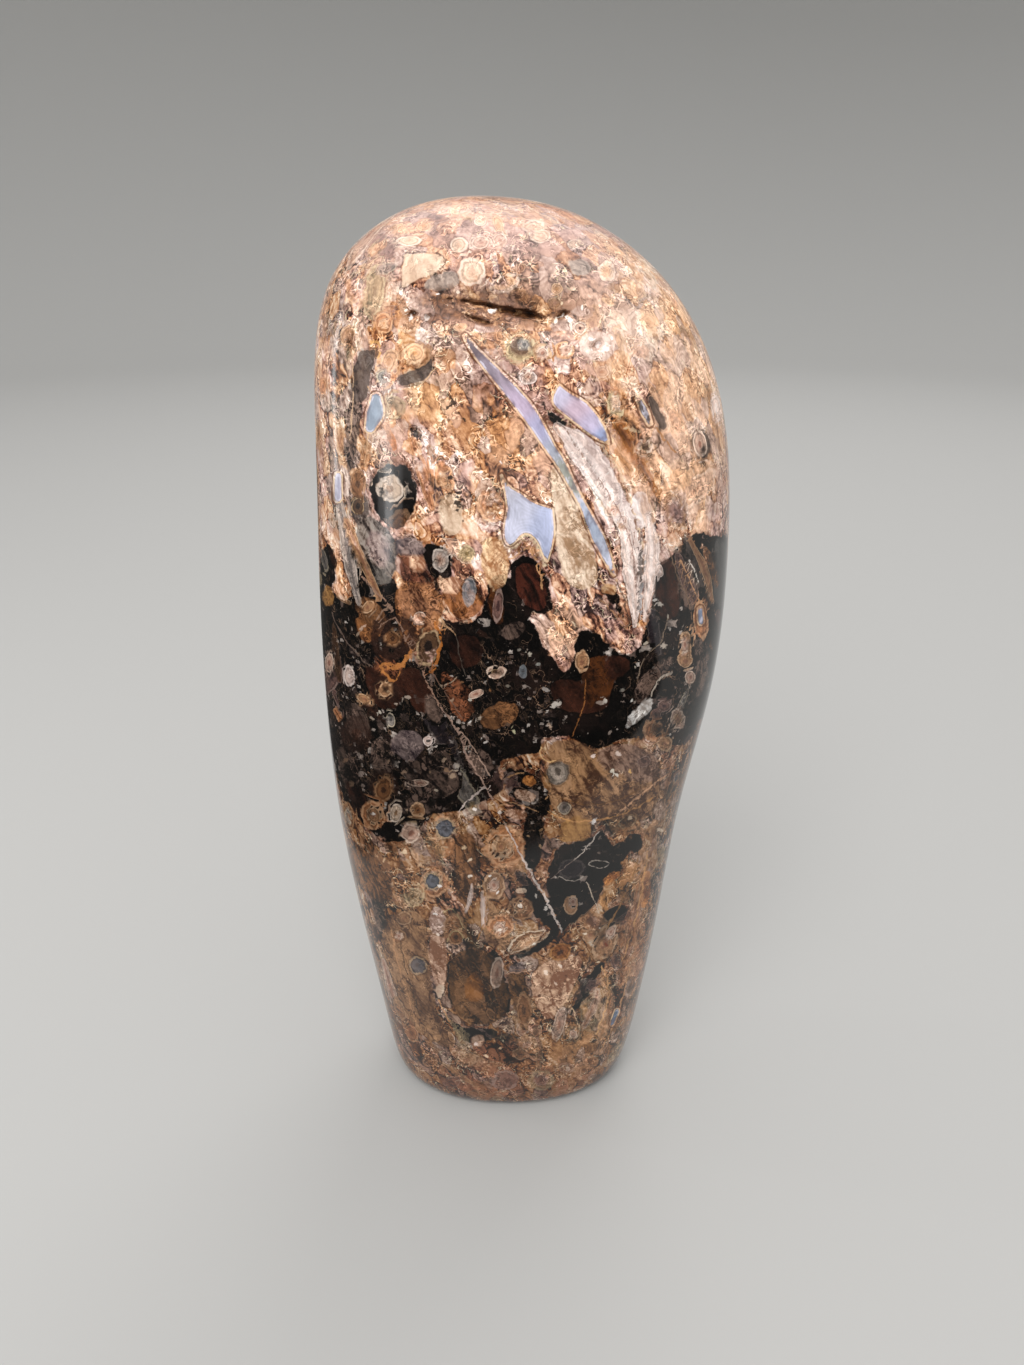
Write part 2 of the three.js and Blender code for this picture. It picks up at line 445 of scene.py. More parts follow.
# %% The black band and the black pools
# height on the axis, and how it rises with x and with y
BAND_TOP = (97.5, 0.11, 0.05)
BAND_BOTTOM = (57.0, 0.24, -0.10)
WAVE_HEIGHT = 4.0
WAVE_LENGTH = 26.0
BLACK_PATCHES = {
    "band": [
        296, 590, 322, 594, 334, 590, 342, 604, 352, 596, 362, 600, 366, 584, 378, 574, 390, 584,
        396, 606, 404, 636, 412, 650, 422, 668, 432, 664, 440, 640, 440, 618, 452, 622, 468, 624,
        482, 614, 486, 594, 492, 578, 501, 574, 508, 580, 511, 566, 518, 558, 530, 556, 541, 564,
        548, 580, 552, 600, 551, 613, 536, 632, 548, 652, 560, 668, 566, 674, 573, 662, 576, 640,
        584, 629, 598, 631, 608, 645, 620, 652, 632, 658, 642, 640, 648, 622, 654, 590, 660, 566,
        670, 556, 677, 545, 688, 540, 697, 531, 712, 537, 745, 531, 742, 690, 712, 708, 698, 722,
        690, 744, 674, 746, 658, 734, 632, 738, 612, 742, 598, 750, 582, 744, 572, 736, 552, 738,
        541, 736, 541, 752, 522, 756, 504, 758, 497, 770, 506, 788, 490, 800, 468, 806, 456, 812,
        438, 812, 424, 822, 408, 838, 394, 844, 380, 838, 366, 828, 352, 808, 340, 794, 336, 770,
        322, 760, 296, 752,
    ],
    "swirl": [500, 776, 512, 768, 530, 772, 546, 786, 552, 806, 544, 822, 528, 806, 512, 800],
    "strip": [526, 800, 540, 806, 545, 826, 542, 856, 536, 872, 526, 868, 523, 846, 524, 820],
    "pool": [
        547, 888, 548, 870, 555, 852, 561, 843, 571, 844, 577, 841, 588, 839, 597, 836, 601, 828,
        602, 828, 609, 840, 612, 848, 619, 842, 626, 843, 634, 833, 641, 836, 641, 847, 630, 851,
        623, 860, 621, 871, 610, 875, 604, 883, 602, 894, 594, 906, 582, 918, 571, 925, 562, 932,
        555, 918, 550, 904,
    ],
    "beside the vein": [513, 868, 524, 872, 538, 888, 550, 908, 562, 932, 548, 930, 530, 908],
    "upper left": [348, 566, 366, 556, 384, 572, 400, 584, 398, 606, 376, 608, 352, 600],
    "root halo": [368, 492, 373, 474, 390, 462, 408, 467, 418, 490, 412, 517, 396, 532, 378, 520],
    "small lens": [423, 547, 433, 543, 450, 551, 453, 566, 448, 580, 438, 582, 429, 572, 423, 560],
    "left edge": [320, 548, 332, 544, 337, 566, 333, 584, 330, 604, 318, 604],
    "triangle": [541, 404, 543, 405, 552, 412, 567, 422, 562, 428, 551, 421],
    "bat": [450, 1020, 462, 1028, 480, 1028, 500, 1030, 494, 1040, 480, 1042, 466, 1042, 456, 1032],
    "block edge": [482, 958, 492, 948, 500, 954, 504, 974, 512, 1000, 508, 1016, 500, 1004, 492, 978],
    "block left": [446, 966, 452, 956, 456, 980, 454, 1006, 448, 1000],
    "leaf shade": [503, 958, 526, 950, 546, 936, 554, 926, 560, 930, 548, 946, 528, 958],
    "lens shade": [597, 926, 606, 910, 620, 905, 630, 908, 627, 918, 612, 926, 600, 944, 592, 954],
    "right root": [586, 978, 600, 960, 604, 966, 594, 986, 580, 1006, 568, 1018, 578, 994],
    "fang gap": [598, 583, 612, 586, 622, 604, 628, 622, 620, 616, 608, 600],
    "left streak": [346, 546, 354, 542, 364, 560, 374, 570, 384, 596, 372, 602, 352, 600],
    "red gap": [436, 566, 444, 580, 440, 598, 434, 590],
}
TAN_IN_BLACK = {
    "tongue": [
        553, 598, 551, 613, 527, 612, 540, 636, 550, 652, 559, 663, 566, 668, 572, 662, 576, 648,
        577, 637, 581, 628, 590, 627, 600, 632, 608, 644, 616, 651, 631, 657, 640, 646, 642, 636,
        632, 630, 618, 620, 606, 602, 590, 576, 560, 570,
    ],
    "island": [700, 542, 705, 546, 711, 562, 708, 566, 702, 556],
    "orange knot": [
        396, 592, 412, 586, 430, 590, 440, 602, 437, 618, 428, 634, 418, 650, 408, 646, 402, 630,
        398, 612,
    ],
}


def slow_waves(places, seed, wave_length=WAVE_LENGTH):
    """Three crossed sine waves with random directions, between about -1 and 1."""
    random = np.random.default_rng(seed)
    directions = random.normal(size=(3, 3))
    directions /= np.linalg.norm(directions, axis=-1, keepdims=True)
    shift = random.uniform(0, 2 * math.pi, 3)
    return np.sin(places @ directions.T * 2 * math.pi / wave_length + shift).mean(-1) * 1.5


def sloping(limit):
    """The height of a tilted plane at every point."""
    height, with_x, with_y = limit
    return height + with_x * points[:, 0] + with_y * points[:, 1]


below_top = sloping(BAND_TOP) + WAVE_HEIGHT * slow_waves(points, 3) - points[:, 2]
above_bottom = points[:, 2] - sloping(BAND_BOTTOM) - WAVE_HEIGHT * slow_waves(points, 5)
black_round = np.clip(np.minimum(below_top, above_bottom), OUTSIDE, -OUTSIDE)
black_seen = np.max([patch_depth(corners) for corners in BLACK_PATCHES.values()], axis=0)
tan_seen = np.max([patch_depth(corners) for corners in TAN_IN_BLACK.values()], axis=0)
black = seen * np.minimum(black_seen, -tan_seen) + (1 - seen) * black_round
print("black over", round(float((black > 0).mean()), 2), "of the points")

# %% [markdown]
# ## Lilac chalcedony
# Lenses of pale blue and lilac chalcedony filled gaps between roots. A long one runs down the
# front, with a shorter one beside it and a small star over an arch. Slivers lie near the edges. The
# colour drifts from grey lilac to clear blue, so it is a blend of tones by how near each one is.

# %% Lilac lenses
LILAC_STRANDS = [
    ([465, 336, 474, 350, 492, 370, 511, 391, 529, 413, 542, 434, 551, 449], [2, 7, 10, 13, 14, 12, 9]),
    ([551, 449, 561, 463, 572, 485, 583, 505, 592, 525, 602, 546, 609, 562, 614, 574],
     [9, 8, 6, 5, 8, 11, 8, 2]),
    ([376, 398, 376, 412, 370, 428], [9, 17, 9]),
    ([338, 476, 338, 498], [6, 7]),
    ([638, 398, 644, 410, 650, 424], [3, 7, 3]),
    ([700, 609, 701, 622], [4, 5]),
    ([612, 1024, 617, 1011], [3, 4]),
]
LILAC_PATCHES = [
    [
        501, 475, 501, 475, 508, 487, 521, 494, 534, 504, 552, 509, 552, 509, 554, 530, 552, 544,
        547, 561, 547, 561, 542, 551, 538, 540, 529, 532, 520, 534, 512, 545, 506, 543, 504, 528,
        508, 513, 507, 497,
    ],
    [
        559, 385, 559, 385, 568, 393, 584, 401, 596, 414, 605, 429, 609, 443, 609, 443, 596, 438,
        581, 427, 567, 415, 556, 407, 552, 399,
    ],
]
# x, y, reach in pixels, colour
LILAC_TONES = [
    (470, 345, 18, "6A6062"), (495, 375, 22, "968894"), (520, 402, 20, "B09EB2"),
    (540, 430, 16, "A4A0BC"), (553, 450, 12, "A0A2AE"), (566, 475, 16, "9A9A90"),
    (590, 522, 16, "A4ACBE"), (606, 555, 14, "B4B8C8"), (504, 490, 12, "BEBAC6"),
    (515, 515, 16, "C8C8DA"), (545, 530, 16, "B8BEDA"), (547, 555, 10, "AEB4D0"),
    (562, 396, 10, "C0B8CC"), (578, 408, 12, "C2AAB8"), (592, 422, 12, "BAAEC6"),
    (604, 438, 10, "9CAAD0"), (374, 412, 24, "8E98A6"), (338, 487, 20, "A09CAC"),
    (645, 410, 20, "5A504E"), (702, 620, 16, "76829A"), (615, 1018, 14, "5C6E84"),
]
# place, run, half-lengths along the run and across it: lenses all round the stone
LILAC_ROUND = [
    ((10, 21, 112), (-0.3, 0, -1), 15, 1.7),
    ((-14, 19, 118), (0.4, 0, -1), 10, 1.3),
    ((29, 10, 92), (0, -0.5, -1), 12, 1.4),
    ((-27, 9, 100), (0, 0.5, -1), 9, 1.2),
    ((2, 20, 86), (0.5, 0, -1), 8, 2.1),
    ((-10, 17, 40), (0.2, 0, -1), 9, 1.1),
    ((18, 16, 44), (-0.4, 0, -1), 7, 1.2),
]


LENS_WAVE_LENGTH = 11.0
LENS_BEND = 1.3
LENS_SEEDS = (21, 22, 23)
bends = [slow_waves(points, seed, LENS_WAVE_LENGTH) for seed in LENS_SEEDS]
bent_points = points + LENS_BEND * np.stack(bends, -1)


def lens_depth(place, run, half_length, half_width):
    """Depth inside a bent spindle in the stone: 1 less the offset's length, in millimetres."""
    run = np.array(run, float) / np.linalg.norm(run)
    offset = bent_points - np.array(place)
    along = offset @ run
    across = np.linalg.norm(offset - along[:, None] * run, axis=-1)
    return (1 - np.hypot(along / half_length, across / half_width)) * half_width


def blended(tones):
    """The colour at every point: each tone weighs as much as a bell round its pixel."""
    total, weights = np.zeros((point_count, 3)), np.full(point_count, 1e-6)
    for x, y, reach, code in tones:
        weight = bell(np.hypot(pixel[:, 0] - x, pixel[:, 1] - y) / reach) ** 2 + 1e-9
        total += weight[:, None] * linear(code)
        weights += weight
    return total / weights[:, None]


lilac = np.max([-strand_offset(path, widths)[2] for path, widths in LILAC_STRANDS], axis=0)
lilac = np.maximum(lilac, np.max([patch_depth(corners) for corners in LILAC_PATCHES], axis=0))
lilac_round = np.max([lens_depth(*lens) for lens in LILAC_ROUND], axis=0)
lilac = np.maximum(np.where(seen > SEEN_WELL, lilac, lilac_round), OUTSIDE)
lilac_tone = np.where(seen[:, None] > SEEN_WELL, blended(LILAC_TONES), linear("9CA4C8"))
print("lilac over", int((lilac > 0).sum()), "points")

# %% [markdown]
# ## Patches
# Broken bark, druse and stained silt lie in the stone as irregular pieces with a colour of their
# own. A patch has a dark and a light colour, and the finish moves between the two with the grain.

# %% Patches
# dark, light, and how calm its grain is
PATCH_KINDS = {
    "cream": ("BE9A80", "E2CCB4", 0.8),
    "tan": ("A06C46", "E8C298", 0.3),
    "pinkish": ("84583F", "E2BCA2", 0.3),
    "ochre": ("6E4422", "B88850", 0.6),
    "amber": ("2E160A", "9A5A28", 0.6),
    "red brown": ("120807", "6E3C28", 0.3),
    "orange": ("7C421C", "DC9250", 0.4),
    "druse": ("94705F", "E2C8BA", 0.2),
    "white": ("A89C94", "FAF4EE", 0.2),
    "mauve": ("30242A", "94807A", 0.6),
    "olive": ("A07E60", "E8D0B8", 0.6),
    "brown olive": ("4E3224", "B0845E", 0.5),
    "rose": ("54382C", "B08C78", 0.6),
    "dark olive": ("281A10", "7A5230", 0.5),
    "dark grit": ("1A1614", "80766E", 0.2),
    "glow": ("3A2010", "9A6028", 0.9),
    "pale root": ("BAA29C", "F6E8E2", 0.9),
    "smoke": ("1E1816", "5E524C", 1.0),
    "arch": ("140A08", "54281C", 0.9),
    "haze": ("0E0706", "47261A", 0.9),
    "dark amber": ("1A0D08", "5E3418", 0.7),
    "bark": ("16100E", "7C6458", 0.1),
    "red bark": ("1A0C08", "8C5438", 0.1),
    "slate": ("2A2827", "55514E", 1.0),
    "pale tan": ("8C5C42", "EEC4A2", 0.2),
    "fang": ("CCB4AA", "F6E8E2", 1.0),
    "rust": ("3A1E10", "A0683E", 0.3),
    "grey": ("6A5A52", "C8B4A6", 0.8),
    "brown": ("3A2416", "946440", 0.5),
}
PATCHES = [
    ("cream", [404, 255, 404, 255, 426, 252, 448, 258, 440, 268, 434, 274, 418, 280, 401, 288, 401, 288]),
    ("smoke", [356, 357, 362, 350, 377, 349, 374, 362, 369, 384, 367, 401, 351, 402, 352, 384]),
    ("smoke", [396, 382, 402, 372, 418, 370, 432, 354, 433, 372, 420, 382, 406, 388]),
    ("smoke", [350, 498, 362, 492, 372, 506, 366, 526, 352, 522]),
    ("smoke", [690, 436, 706, 430, 712, 446, 706, 462, 698, 452]),
    ("bark", [347, 403, 364, 402, 361, 420, 358, 442, 355, 464, 347, 478, 345, 447, 346, 420]),
    ("smoke", [646, 392, 656, 400, 668, 424, 664, 432, 652, 416]),
    ("dark grit", [354, 516, 374, 516, 392, 532, 398, 562, 388, 588, 370, 580, 360, 556]),
    ("grey", [424, 280, 440, 272, 455, 271, 462, 282, 448, 290, 424, 290]),
    ("grey", [565, 262, 578, 258, 592, 264, 590, 274, 574, 276]),
    ("druse", [582, 334, 598, 330, 612, 338, 616, 352, 604, 362, 588, 360, 578, 348]),
    ("druse", [546, 324, 562, 318, 580, 320, 572, 330, 556, 334]),
    ("druse", [566, 312, 582, 304, 592, 312, 580, 318]),
    ("olive", [551, 466, 558, 468, 570, 492, 584, 520, 596, 556, 598, 584, 584, 592, 566, 584, 556, 548,
     552, 500]),
    ("olive", [440, 496, 456, 494, 464, 512, 460, 534, 446, 536, 438, 516]),
    ("pale root", [558, 428, 562, 426, 584, 430, 604, 452, 620, 484, 632, 512, 640, 546, 634, 560,
     618, 528, 600, 498, 582, 474, 566, 450]),
    ("fang", [622, 524, 630, 516, 644, 544, 642, 590, 638, 618, 635, 630, 630, 610, 624, 574]),
    ("fang", [646, 520, 652, 516, 660, 544, 658, 574, 650, 604, 644, 620, 645, 590, 647, 556]),
    ("pale root", [630, 500, 640, 488, 650, 500, 652, 520, 644, 530, 634, 520]),
    ("haze", [548, 684, 566, 678, 584, 684, 604, 694, 612, 700, 604, 712, 580, 714, 556, 708]),
    ("dark amber", [580, 664, 596, 656, 610, 656, 616, 672, 612, 694, 598, 704, 588, 708, 584, 690]),
    ("haze", [656, 566, 666, 556, 674, 562, 680, 592, 678, 616, 664, 622, 656, 604]),
    ("bark", [674, 560, 682, 552, 692, 560, 700, 596, 698, 608, 688, 612, 680, 592]),
    ("slate", [714, 536, 724, 540, 730, 560, 728, 590, 720, 612, 712, 592, 716, 560]),
    ("smoke", [681, 534, 688, 534, 700, 556, 707, 588, 700, 586, 690, 560]),
    ("brown", [703, 545, 707, 546, 714, 562, 720, 588, 714, 584, 706, 562]),
    ("haze", [604, 656, 616, 655, 632, 661, 628, 674, 612, 681, 605, 670]),
    ("mauve", [395, 538, 422, 538, 425, 554, 411, 558, 397, 554]),
    ("bark", [371, 886, 380, 892, 386, 916, 390, 942, 380, 938, 372, 914]),
    ("bark", [632, 690, 646, 672, 662, 658, 674, 656, 670, 670, 656, 680, 650, 696, 638, 708]),
    ("bark", [692, 640, 706, 636, 712, 664, 706, 690, 696, 700, 690, 690, 698, 668]),
    ("red bark", [438, 670, 452, 676, 472, 690, 476, 706, 466, 724, 456, 718, 446, 698]),
    ("haze", [400, 672, 414, 664, 432, 690, 440, 706, 428, 716, 410, 706]),
    ("haze", [362, 668, 380, 664, 404, 676, 404, 700, 392, 712, 372, 704]),
    ("bark", [396, 764, 424, 758, 444, 744, 452, 760, 462, 788, 440, 800, 412, 790]),
    ("haze", [448, 640, 470, 632, 484, 646, 482, 664, 462, 670, 450, 660]),
    ("bark", [338, 744, 352, 752, 360, 776, 354, 796, 344, 786, 338, 766]),
    ("amber", [440, 588, 456, 582, 472, 580, 482, 590, 484, 608, 472, 620, 456, 618, 446, 606]),
    ("red brown", [398, 552, 410, 556, 418, 572, 428, 568, 434, 584, 432, 594, 416, 596, 402, 586]),
    ("pale tan", [410, 556, 423, 554, 428, 567, 418, 573, 411, 568]),
    ("pale tan", [437, 572, 448, 580, 460, 574, 461, 590, 446, 594, 438, 588]),
    ("arch", [514, 572, 524, 562, 538, 566, 546, 586, 548, 606, 536, 612, 524, 604, 516, 590]),
    ("dark amber", [486, 600, 492, 586, 500, 584, 504, 604, 502, 626, 492, 620]),
    ("bark", [498, 632, 512, 620, 526, 622, 524, 634, 508, 642]),
    ("bark", [344, 700, 362, 706, 372, 724, 364, 742, 348, 738]),
    ("bark", [372, 736, 392, 744, 398, 764, 384, 778, 368, 764]),
    ("bark", [404, 800, 424, 790, 440, 804, 430, 816, 410, 814]),
    ("bark", [424, 690, 440, 700, 446, 718, 434, 724, 424, 710]),
    ("haze", [344, 776, 362, 790, 372, 812, 362, 820, 350, 804]),
    ("bark", [466, 752, 484, 748, 496, 764, 486, 780, 470, 772]),
    ("rust", [394, 588, 412, 580, 434, 586, 446, 602, 440, 622, 428, 640, 414, 654, 402, 642, 396, 612]),
    ("rust", [356, 616, 372, 612, 384, 624, 378, 640, 366, 644, 356, 632]),
    ("red bark", [372, 652, 390, 656, 404, 670, 396, 680, 378, 676]),
    ("tan", [482, 540, 492, 534, 506, 544, 510, 566, 506, 584, 496, 592, 486, 580, 480, 560]),
    ("mauve", [389, 744, 396, 732, 412, 729, 424, 738, 423, 752, 412, 762, 398, 758]),
    ("mauve", [366, 534, 378, 528, 388, 540, 390, 560, 380, 572, 370, 556]),
    ("white", [650, 696, 654, 700, 650, 712, 640, 720, 630, 727, 625, 730, 628, 716, 638, 706]),
    ("brown olive", [548, 742, 570, 738, 600, 752, 630, 742, 658, 756, 662, 790, 648, 822, 612, 818,
     590, 826, 564, 820, 548, 800, 552, 770]),
    ("rose", [596, 750, 612, 746, 630, 742, 658, 756, 660, 778, 640, 784, 620, 772, 600, 766]),
    ("ochre", [558, 826, 572, 816, 588, 818, 592, 834, 586, 840, 572, 842, 560, 842]),
    ("orange", [606, 874, 620, 870, 618, 878, 606, 888, 603, 882]),
    ("orange", [642, 872, 650, 868, 652, 890, 644, 912, 638, 900]),
    ("brown olive", [380, 934, 396, 910, 424, 912, 428, 950, 432, 990, 438, 1008, 420, 1012, 400, 990,
     386, 962]),
    ("brown olive", [384, 976, 404, 980, 430, 1004, 448, 1026, 458, 1046, 440, 1048, 410, 1022,
     390, 1000]),
    ("dark olive", [506, 968, 522, 964, 528, 988, 534, 1016, 522, 1024, 512, 1004]),
    ("mauve", [508, 964, 524, 962, 526, 970, 510, 974]),
    ("pale tan", [530, 972, 548, 962, 568, 956, 584, 956, 580, 972, 574, 986, 566, 1004, 548, 1022,
     538, 1010, 532, 992]),
    ("brown olive", [480, 896, 494, 902, 512, 940, 508, 950, 490, 948, 482, 930]),
    ("brown", [346, 850, 362, 846, 376, 866, 392, 880, 388, 904, 372, 900, 356, 880]),
    ("red bark", [606, 1000, 618, 984, 626, 996, 620, 1020, 608, 1030]),
    ("red bark", [470, 1036, 490, 1044, 520, 1046, 530, 1062, 500, 1064, 474, 1054]),
    ("dark olive", [450, 956, 474, 946, 492, 952, 504, 976, 510, 1004, 500, 1022, 474, 1026, 456, 1016,
     448, 990]),
    ("glow", [464, 982, 474, 970, 484, 980, 484, 998, 472, 1004, 465, 996]),
    ("brown", [455, 838, 466, 832, 476, 838, 476, 870, 474, 902, 466, 906, 457, 900, 454, 868]),
    ("druse", [429, 914, 436, 905, 445, 912, 446, 930, 440, 936, 430, 932]),
    ("pinkish", [428, 933, 440, 936, 447, 940, 447, 984, 438, 990, 431, 970]),
    ("cream", [436, 984, 445, 984, 444, 994, 440, 1000, 436, 994]),
    ("cream", [516, 888, 526, 888, 528, 893, 516, 894]),
    ("pinkish", [472, 1036, 482, 1034, 486, 1042, 478, 1048, 472, 1044]),
    ("ochre", [324, 584, 333, 588, 334, 602, 328, 608, 322, 600]),
    ("brown", [354, 596, 374, 598, 388, 616, 384, 632, 368, 626, 356, 612]),
    ("brown", [480, 712, 504, 700, 520, 706, 516, 722, 496, 730, 482, 726]),
    ("orange", [522, 777, 530, 774, 537, 780, 532, 787, 524, 785]),
    ("pinkish", [512, 790, 526, 788, 538, 798, 532, 804, 518, 800]),
    ("pinkish", [502, 812, 514, 808, 528, 812, 528, 820, 512, 820]),
    ("tan", [600, 586, 612, 582, 618, 590, 612, 596, 602, 592]),
]
# place, run, half-lengths along the run and across it, colour: patches all round the stone
PATCHES_ROUND = [
    ((0, 21, 128), (1, 0, 0.3), 9, 4, "cream"),
    ((-18, 16, 108), (0.3, 0, -1), 8, 3, "druse"),
    ((18, 19, 100), (-0.4, 0, -1), 12, 3, "pale root"),
    ((-6, 20, 92), (-0.2, 0, -1), 9, 3.4, "olive"),
    ((8, 18, 34), (0.4, 0, -1), 8, 4, "ochre"),
    ((-18, 13, 26), (0.3, 0, -1), 8, 3.4, "pinkish"),
    ((27, 8, 70), (0, -0.3, -1), 7, 3, "amber"),
    ((-27, 6, 66), (0, 0.3, -1), 7, 3, "red brown"),
    ((24, 4, 32), (0, -0.3, -1), 9, 3, "pinkish"),
    ((-24, 4, 40), (0, 0.3, -1), 9, 3, "olive"),
    ((0, 10, 149), (1, 0.5, 0), 7, 4, "cream"),
    ((-14, 2, 147), (1, 0.5, 0), 6, 3, "grey"),
]
patch = np.full(point_count, OUTSIDE)
patch_dark = np.zeros((point_count, 3))
patch_light = np.zeros((point_count, 3))
patch_calm = np.zeros(point_count)


def lay_patch(depth, kind):
    """Lays one patch over those before it: where a point is inside it, or nearer to it than to any."""
    wins = (depth > 0) | (depth > patch)
    dark, light, calm = PATCH_KINDS[kind]
    patch[wins] = depth[wins]
    patch_dark[wins] = linear(dark)
    patch_light[wins] = linear(light)
    patch_calm[wins] = calm


for place, run, half_length, half_width, kind in PATCHES_ROUND:
    lay_patch(np.where(seen < JUST_SEEN, lens_depth(place, run, half_length, half_width), OUTSIDE), kind)
for kind, corners in PATCHES:
    lay_patch(patch_depth(corners), kind)
print(len(PATCHES) + len(PATCHES_ROUND), "patches")

# %% [markdown]
# ## Stains and painted light
# Iron tints the ground between the roots: olive and amber low on the right, orange round the left
# roots, pink on the crown. The crown's pink is partly its own colour and partly a painted sheen.
# Some bells are painted light, not stains: painted shade in and under the hollow, and a painted
# reflection of dark surroundings on the left edge. Bells at the crown's left and right edges make
# them darker than its middle. Each is a soft bell of one colour.

# %% Stains and painted light
# x, y, half-width, half-height, colour
STAINS_AND_PAINTED_LIGHT = [
    # (480, 225) is the crown's pink, partly a painted sheen; (410, 238) and (585, 258) make the crown's
    # edges darker.
    (480, 225, 90, 22, "D2AC9E"), (410, 238, 50, 34, "B88C78"), (585, 258, 60, 36, "A08074"),
    # (376, 262) makes the crown's left edge darker.
    (640, 320, 50, 46, "F8DCCA"), (590, 345, 36, 24, "A67E70"), (376, 262, 14, 40, "906C58"),
    (690, 400, 40, 50, "F0C8AC"), (678, 324, 16, 26, "E8B070"), (600, 300, 40, 26, "B48C7A"),
    (560, 460, 20, 40, "D2A284"), (490, 340, 60, 14, "C4967C"), (530, 236, 30, 16, "AE908A"),
    # (334, 312) is a painted reflection of dark surroundings on the left edge; (430, 308) is painted
    # shade in the hollow.
    (548, 284, 30, 16, "C8A088"), (334, 312, 10, 44, "4E443C"), (430, 308, 44, 16, "84542E"),
    # (540, 310) is painted shade in the hollow.
    (540, 310, 40, 8, "8A5C38"), (480, 383, 18, 12, "7A4626"), (430, 400, 30, 26, "DCAE86"),
    (520, 440, 30, 30, "D4A07A"), (480, 430, 30, 26, "A46E46"), (400, 455, 16, 30, "B4662E"),
    (690, 380, 30, 50, "E4B898"), (660, 470, 26, 50, "DCA67A"), (620, 440, 14, 40, "A8682E"),
    (346, 400, 10, 60, "A88A74"), (350, 460, 12, 40, "B49884"), (420, 560, 34, 36, "8E4A20"),
    (590, 785, 56, 40, "86602E"), (640, 800, 40, 50, "A0785A"), (404, 870, 36, 36, "8A6042"),
    # (455, 338) is painted shade under the hollow.
    (436, 854, 30, 20, "A87048"), (500, 850, 30, 24, "A87650"), (455, 338, 52, 22, "7E563A"),
    (338, 470, 14, 80, "84705F"), (380, 848, 50, 14, "6E4A32"), (476, 930, 26, 26, "6E4A24"),
    (620, 890, 24, 30, "A8753F"), (600, 1010, 30, 40, "A87848"), (512, 1085, 110, 24, "8A563E"),
    (400, 1030, 30, 40, "8C5A3A"), (560, 630, 40, 36, "E2B292"), (640, 960, 26, 70, "A87658"),
    (700, 470, 14, 80, "D0A07A"), (560, 1050, 40, 20, "B07E54"),
]
# place, reach and colour of stains all round
STAINS_ROUND = [
    ((-22, 14, 120), 16, "C08850"), ((8, 22, 132), 18, "E4C4A4"), ((24, 14, 112), 14, "C8A878"),
    ((-6, 22, 40), 18, "86602E"), ((20, 14, 30), 14, "C07A3A"), ((-24, 8, 30), 14, "A0785A"),
    ((14, 18, 8), 14, "8A563E"), ((-16, 14, 10), 14, "8A563E"), ((-4, 8, 148), 12, "E6C6AC"),
]
STAIN_AND_LIGHT_STEEPNESS = 1.5
stain = np.zeros((point_count, 3))
stain_weight = np.zeros(point_count)
for x, y, half_wide, half_high, code in STAINS_AND_PAINTED_LIGHT:
    away = np.hypot((pixel[:, 0] - x) / half_wide, (pixel[:, 1] - y) / half_high)
    strength = bell(away) ** STAIN_AND_LIGHT_STEEPNESS * seen
    stain += strength[:, None] * linear(code)
    stain_weight += strength
for place, reach, code in STAINS_ROUND:
    strength = bell(np.linalg.norm(points - place, axis=-1) / reach) ** STAIN_AND_LIGHT_STEEPNESS * (1 - seen)
    stain += strength[:, None] * linear(code)
    stain_weight += strength
stain /= np.maximum(stain_weight, 1e-6)[:, None]
print("stained over", round(float((stain_weight > 0.5).mean()), 2), "of the points")

# %% [markdown]
# ## Streaks and chips
# Right of the lilac lenses and along the left edge the roots were cut lengthwise, so the grain
# there is drawn out. Elsewhere the mat had crumbled first. The black is crowded with chips on the
# left, and the right shoulder is calm. All four are soft amounts between 0 and 1.

# %% Streaks and chips
# x, y, half-width, half-height
STILLED = [(656, 330, 50, 60), (690, 400, 36, 80)]
STREAKED = [
    (345, 420, 14, 130), (360, 560, 22, 50), (610, 490, 40, 80), (680, 470, 40, 110),
    (570, 560, 30, 60), (580, 620, 70, 40), (640, 590, 30, 50), (700, 620, 20, 90), (430, 470, 20, 40),
    (500, 590, 60, 40), (660, 880, 30, 120), (600, 1000, 60, 50), (360, 950, 20, 90),
    (590, 780, 70, 30), (460, 870, 20, 50),
]
CRUMBLED = [
    (455, 430, 44, 56), (440, 400, 50, 30), (480, 520, 40, 30), (630, 650, 20, 10), (400, 870, 36, 30),
    (480, 900, 30, 40), (555, 985, 30, 30), (440, 300, 40, 16), (500, 1060, 60, 20),
]
CHIPPED = [
    (380, 680, 60, 60), (440, 740, 50, 50), (490, 670, 34, 30), (500, 720, 30, 26), (660, 630, 24, 40),
    (370, 770, 50, 40), (680, 700, 30, 40), (640, 710, 14, 30), (420, 780, 60, 24), (540, 700, 20, 20),
    (530, 800, 26, 30),
]


def softly(spots, elsewhere):
    """Amounts of 0 to 1: the strongest bell of some spots where seen, another amount elsewhere."""
    amount = np.zeros(point_count)
    for x, y, half_wide, half_high in spots:
        away = np.hypot((pixel[:, 0] - x) / half_wide, (pixel[:, 1] - y) / half_high)
        amount = np.maximum(amount, bell(away * 0.8) ** 1.2)
    return seen * amount + (1 - seen) * elsewhere


streaked = softly(STREAKED, 0.5 + 0.4 * slow_waves(points, 8))
chipped = softly(CHIPPED, 0.5 + 0.5 * slow_waves(points, 9))
stilled = softly(STILLED, 0.3)
crumbled = softly(CRUMBLED, 0.4 + 0.4 * slow_waves(points, 11))
print("streaked", round(float(streaked.mean()), 2), "chipped", round(float(chipped.mean()), 2))
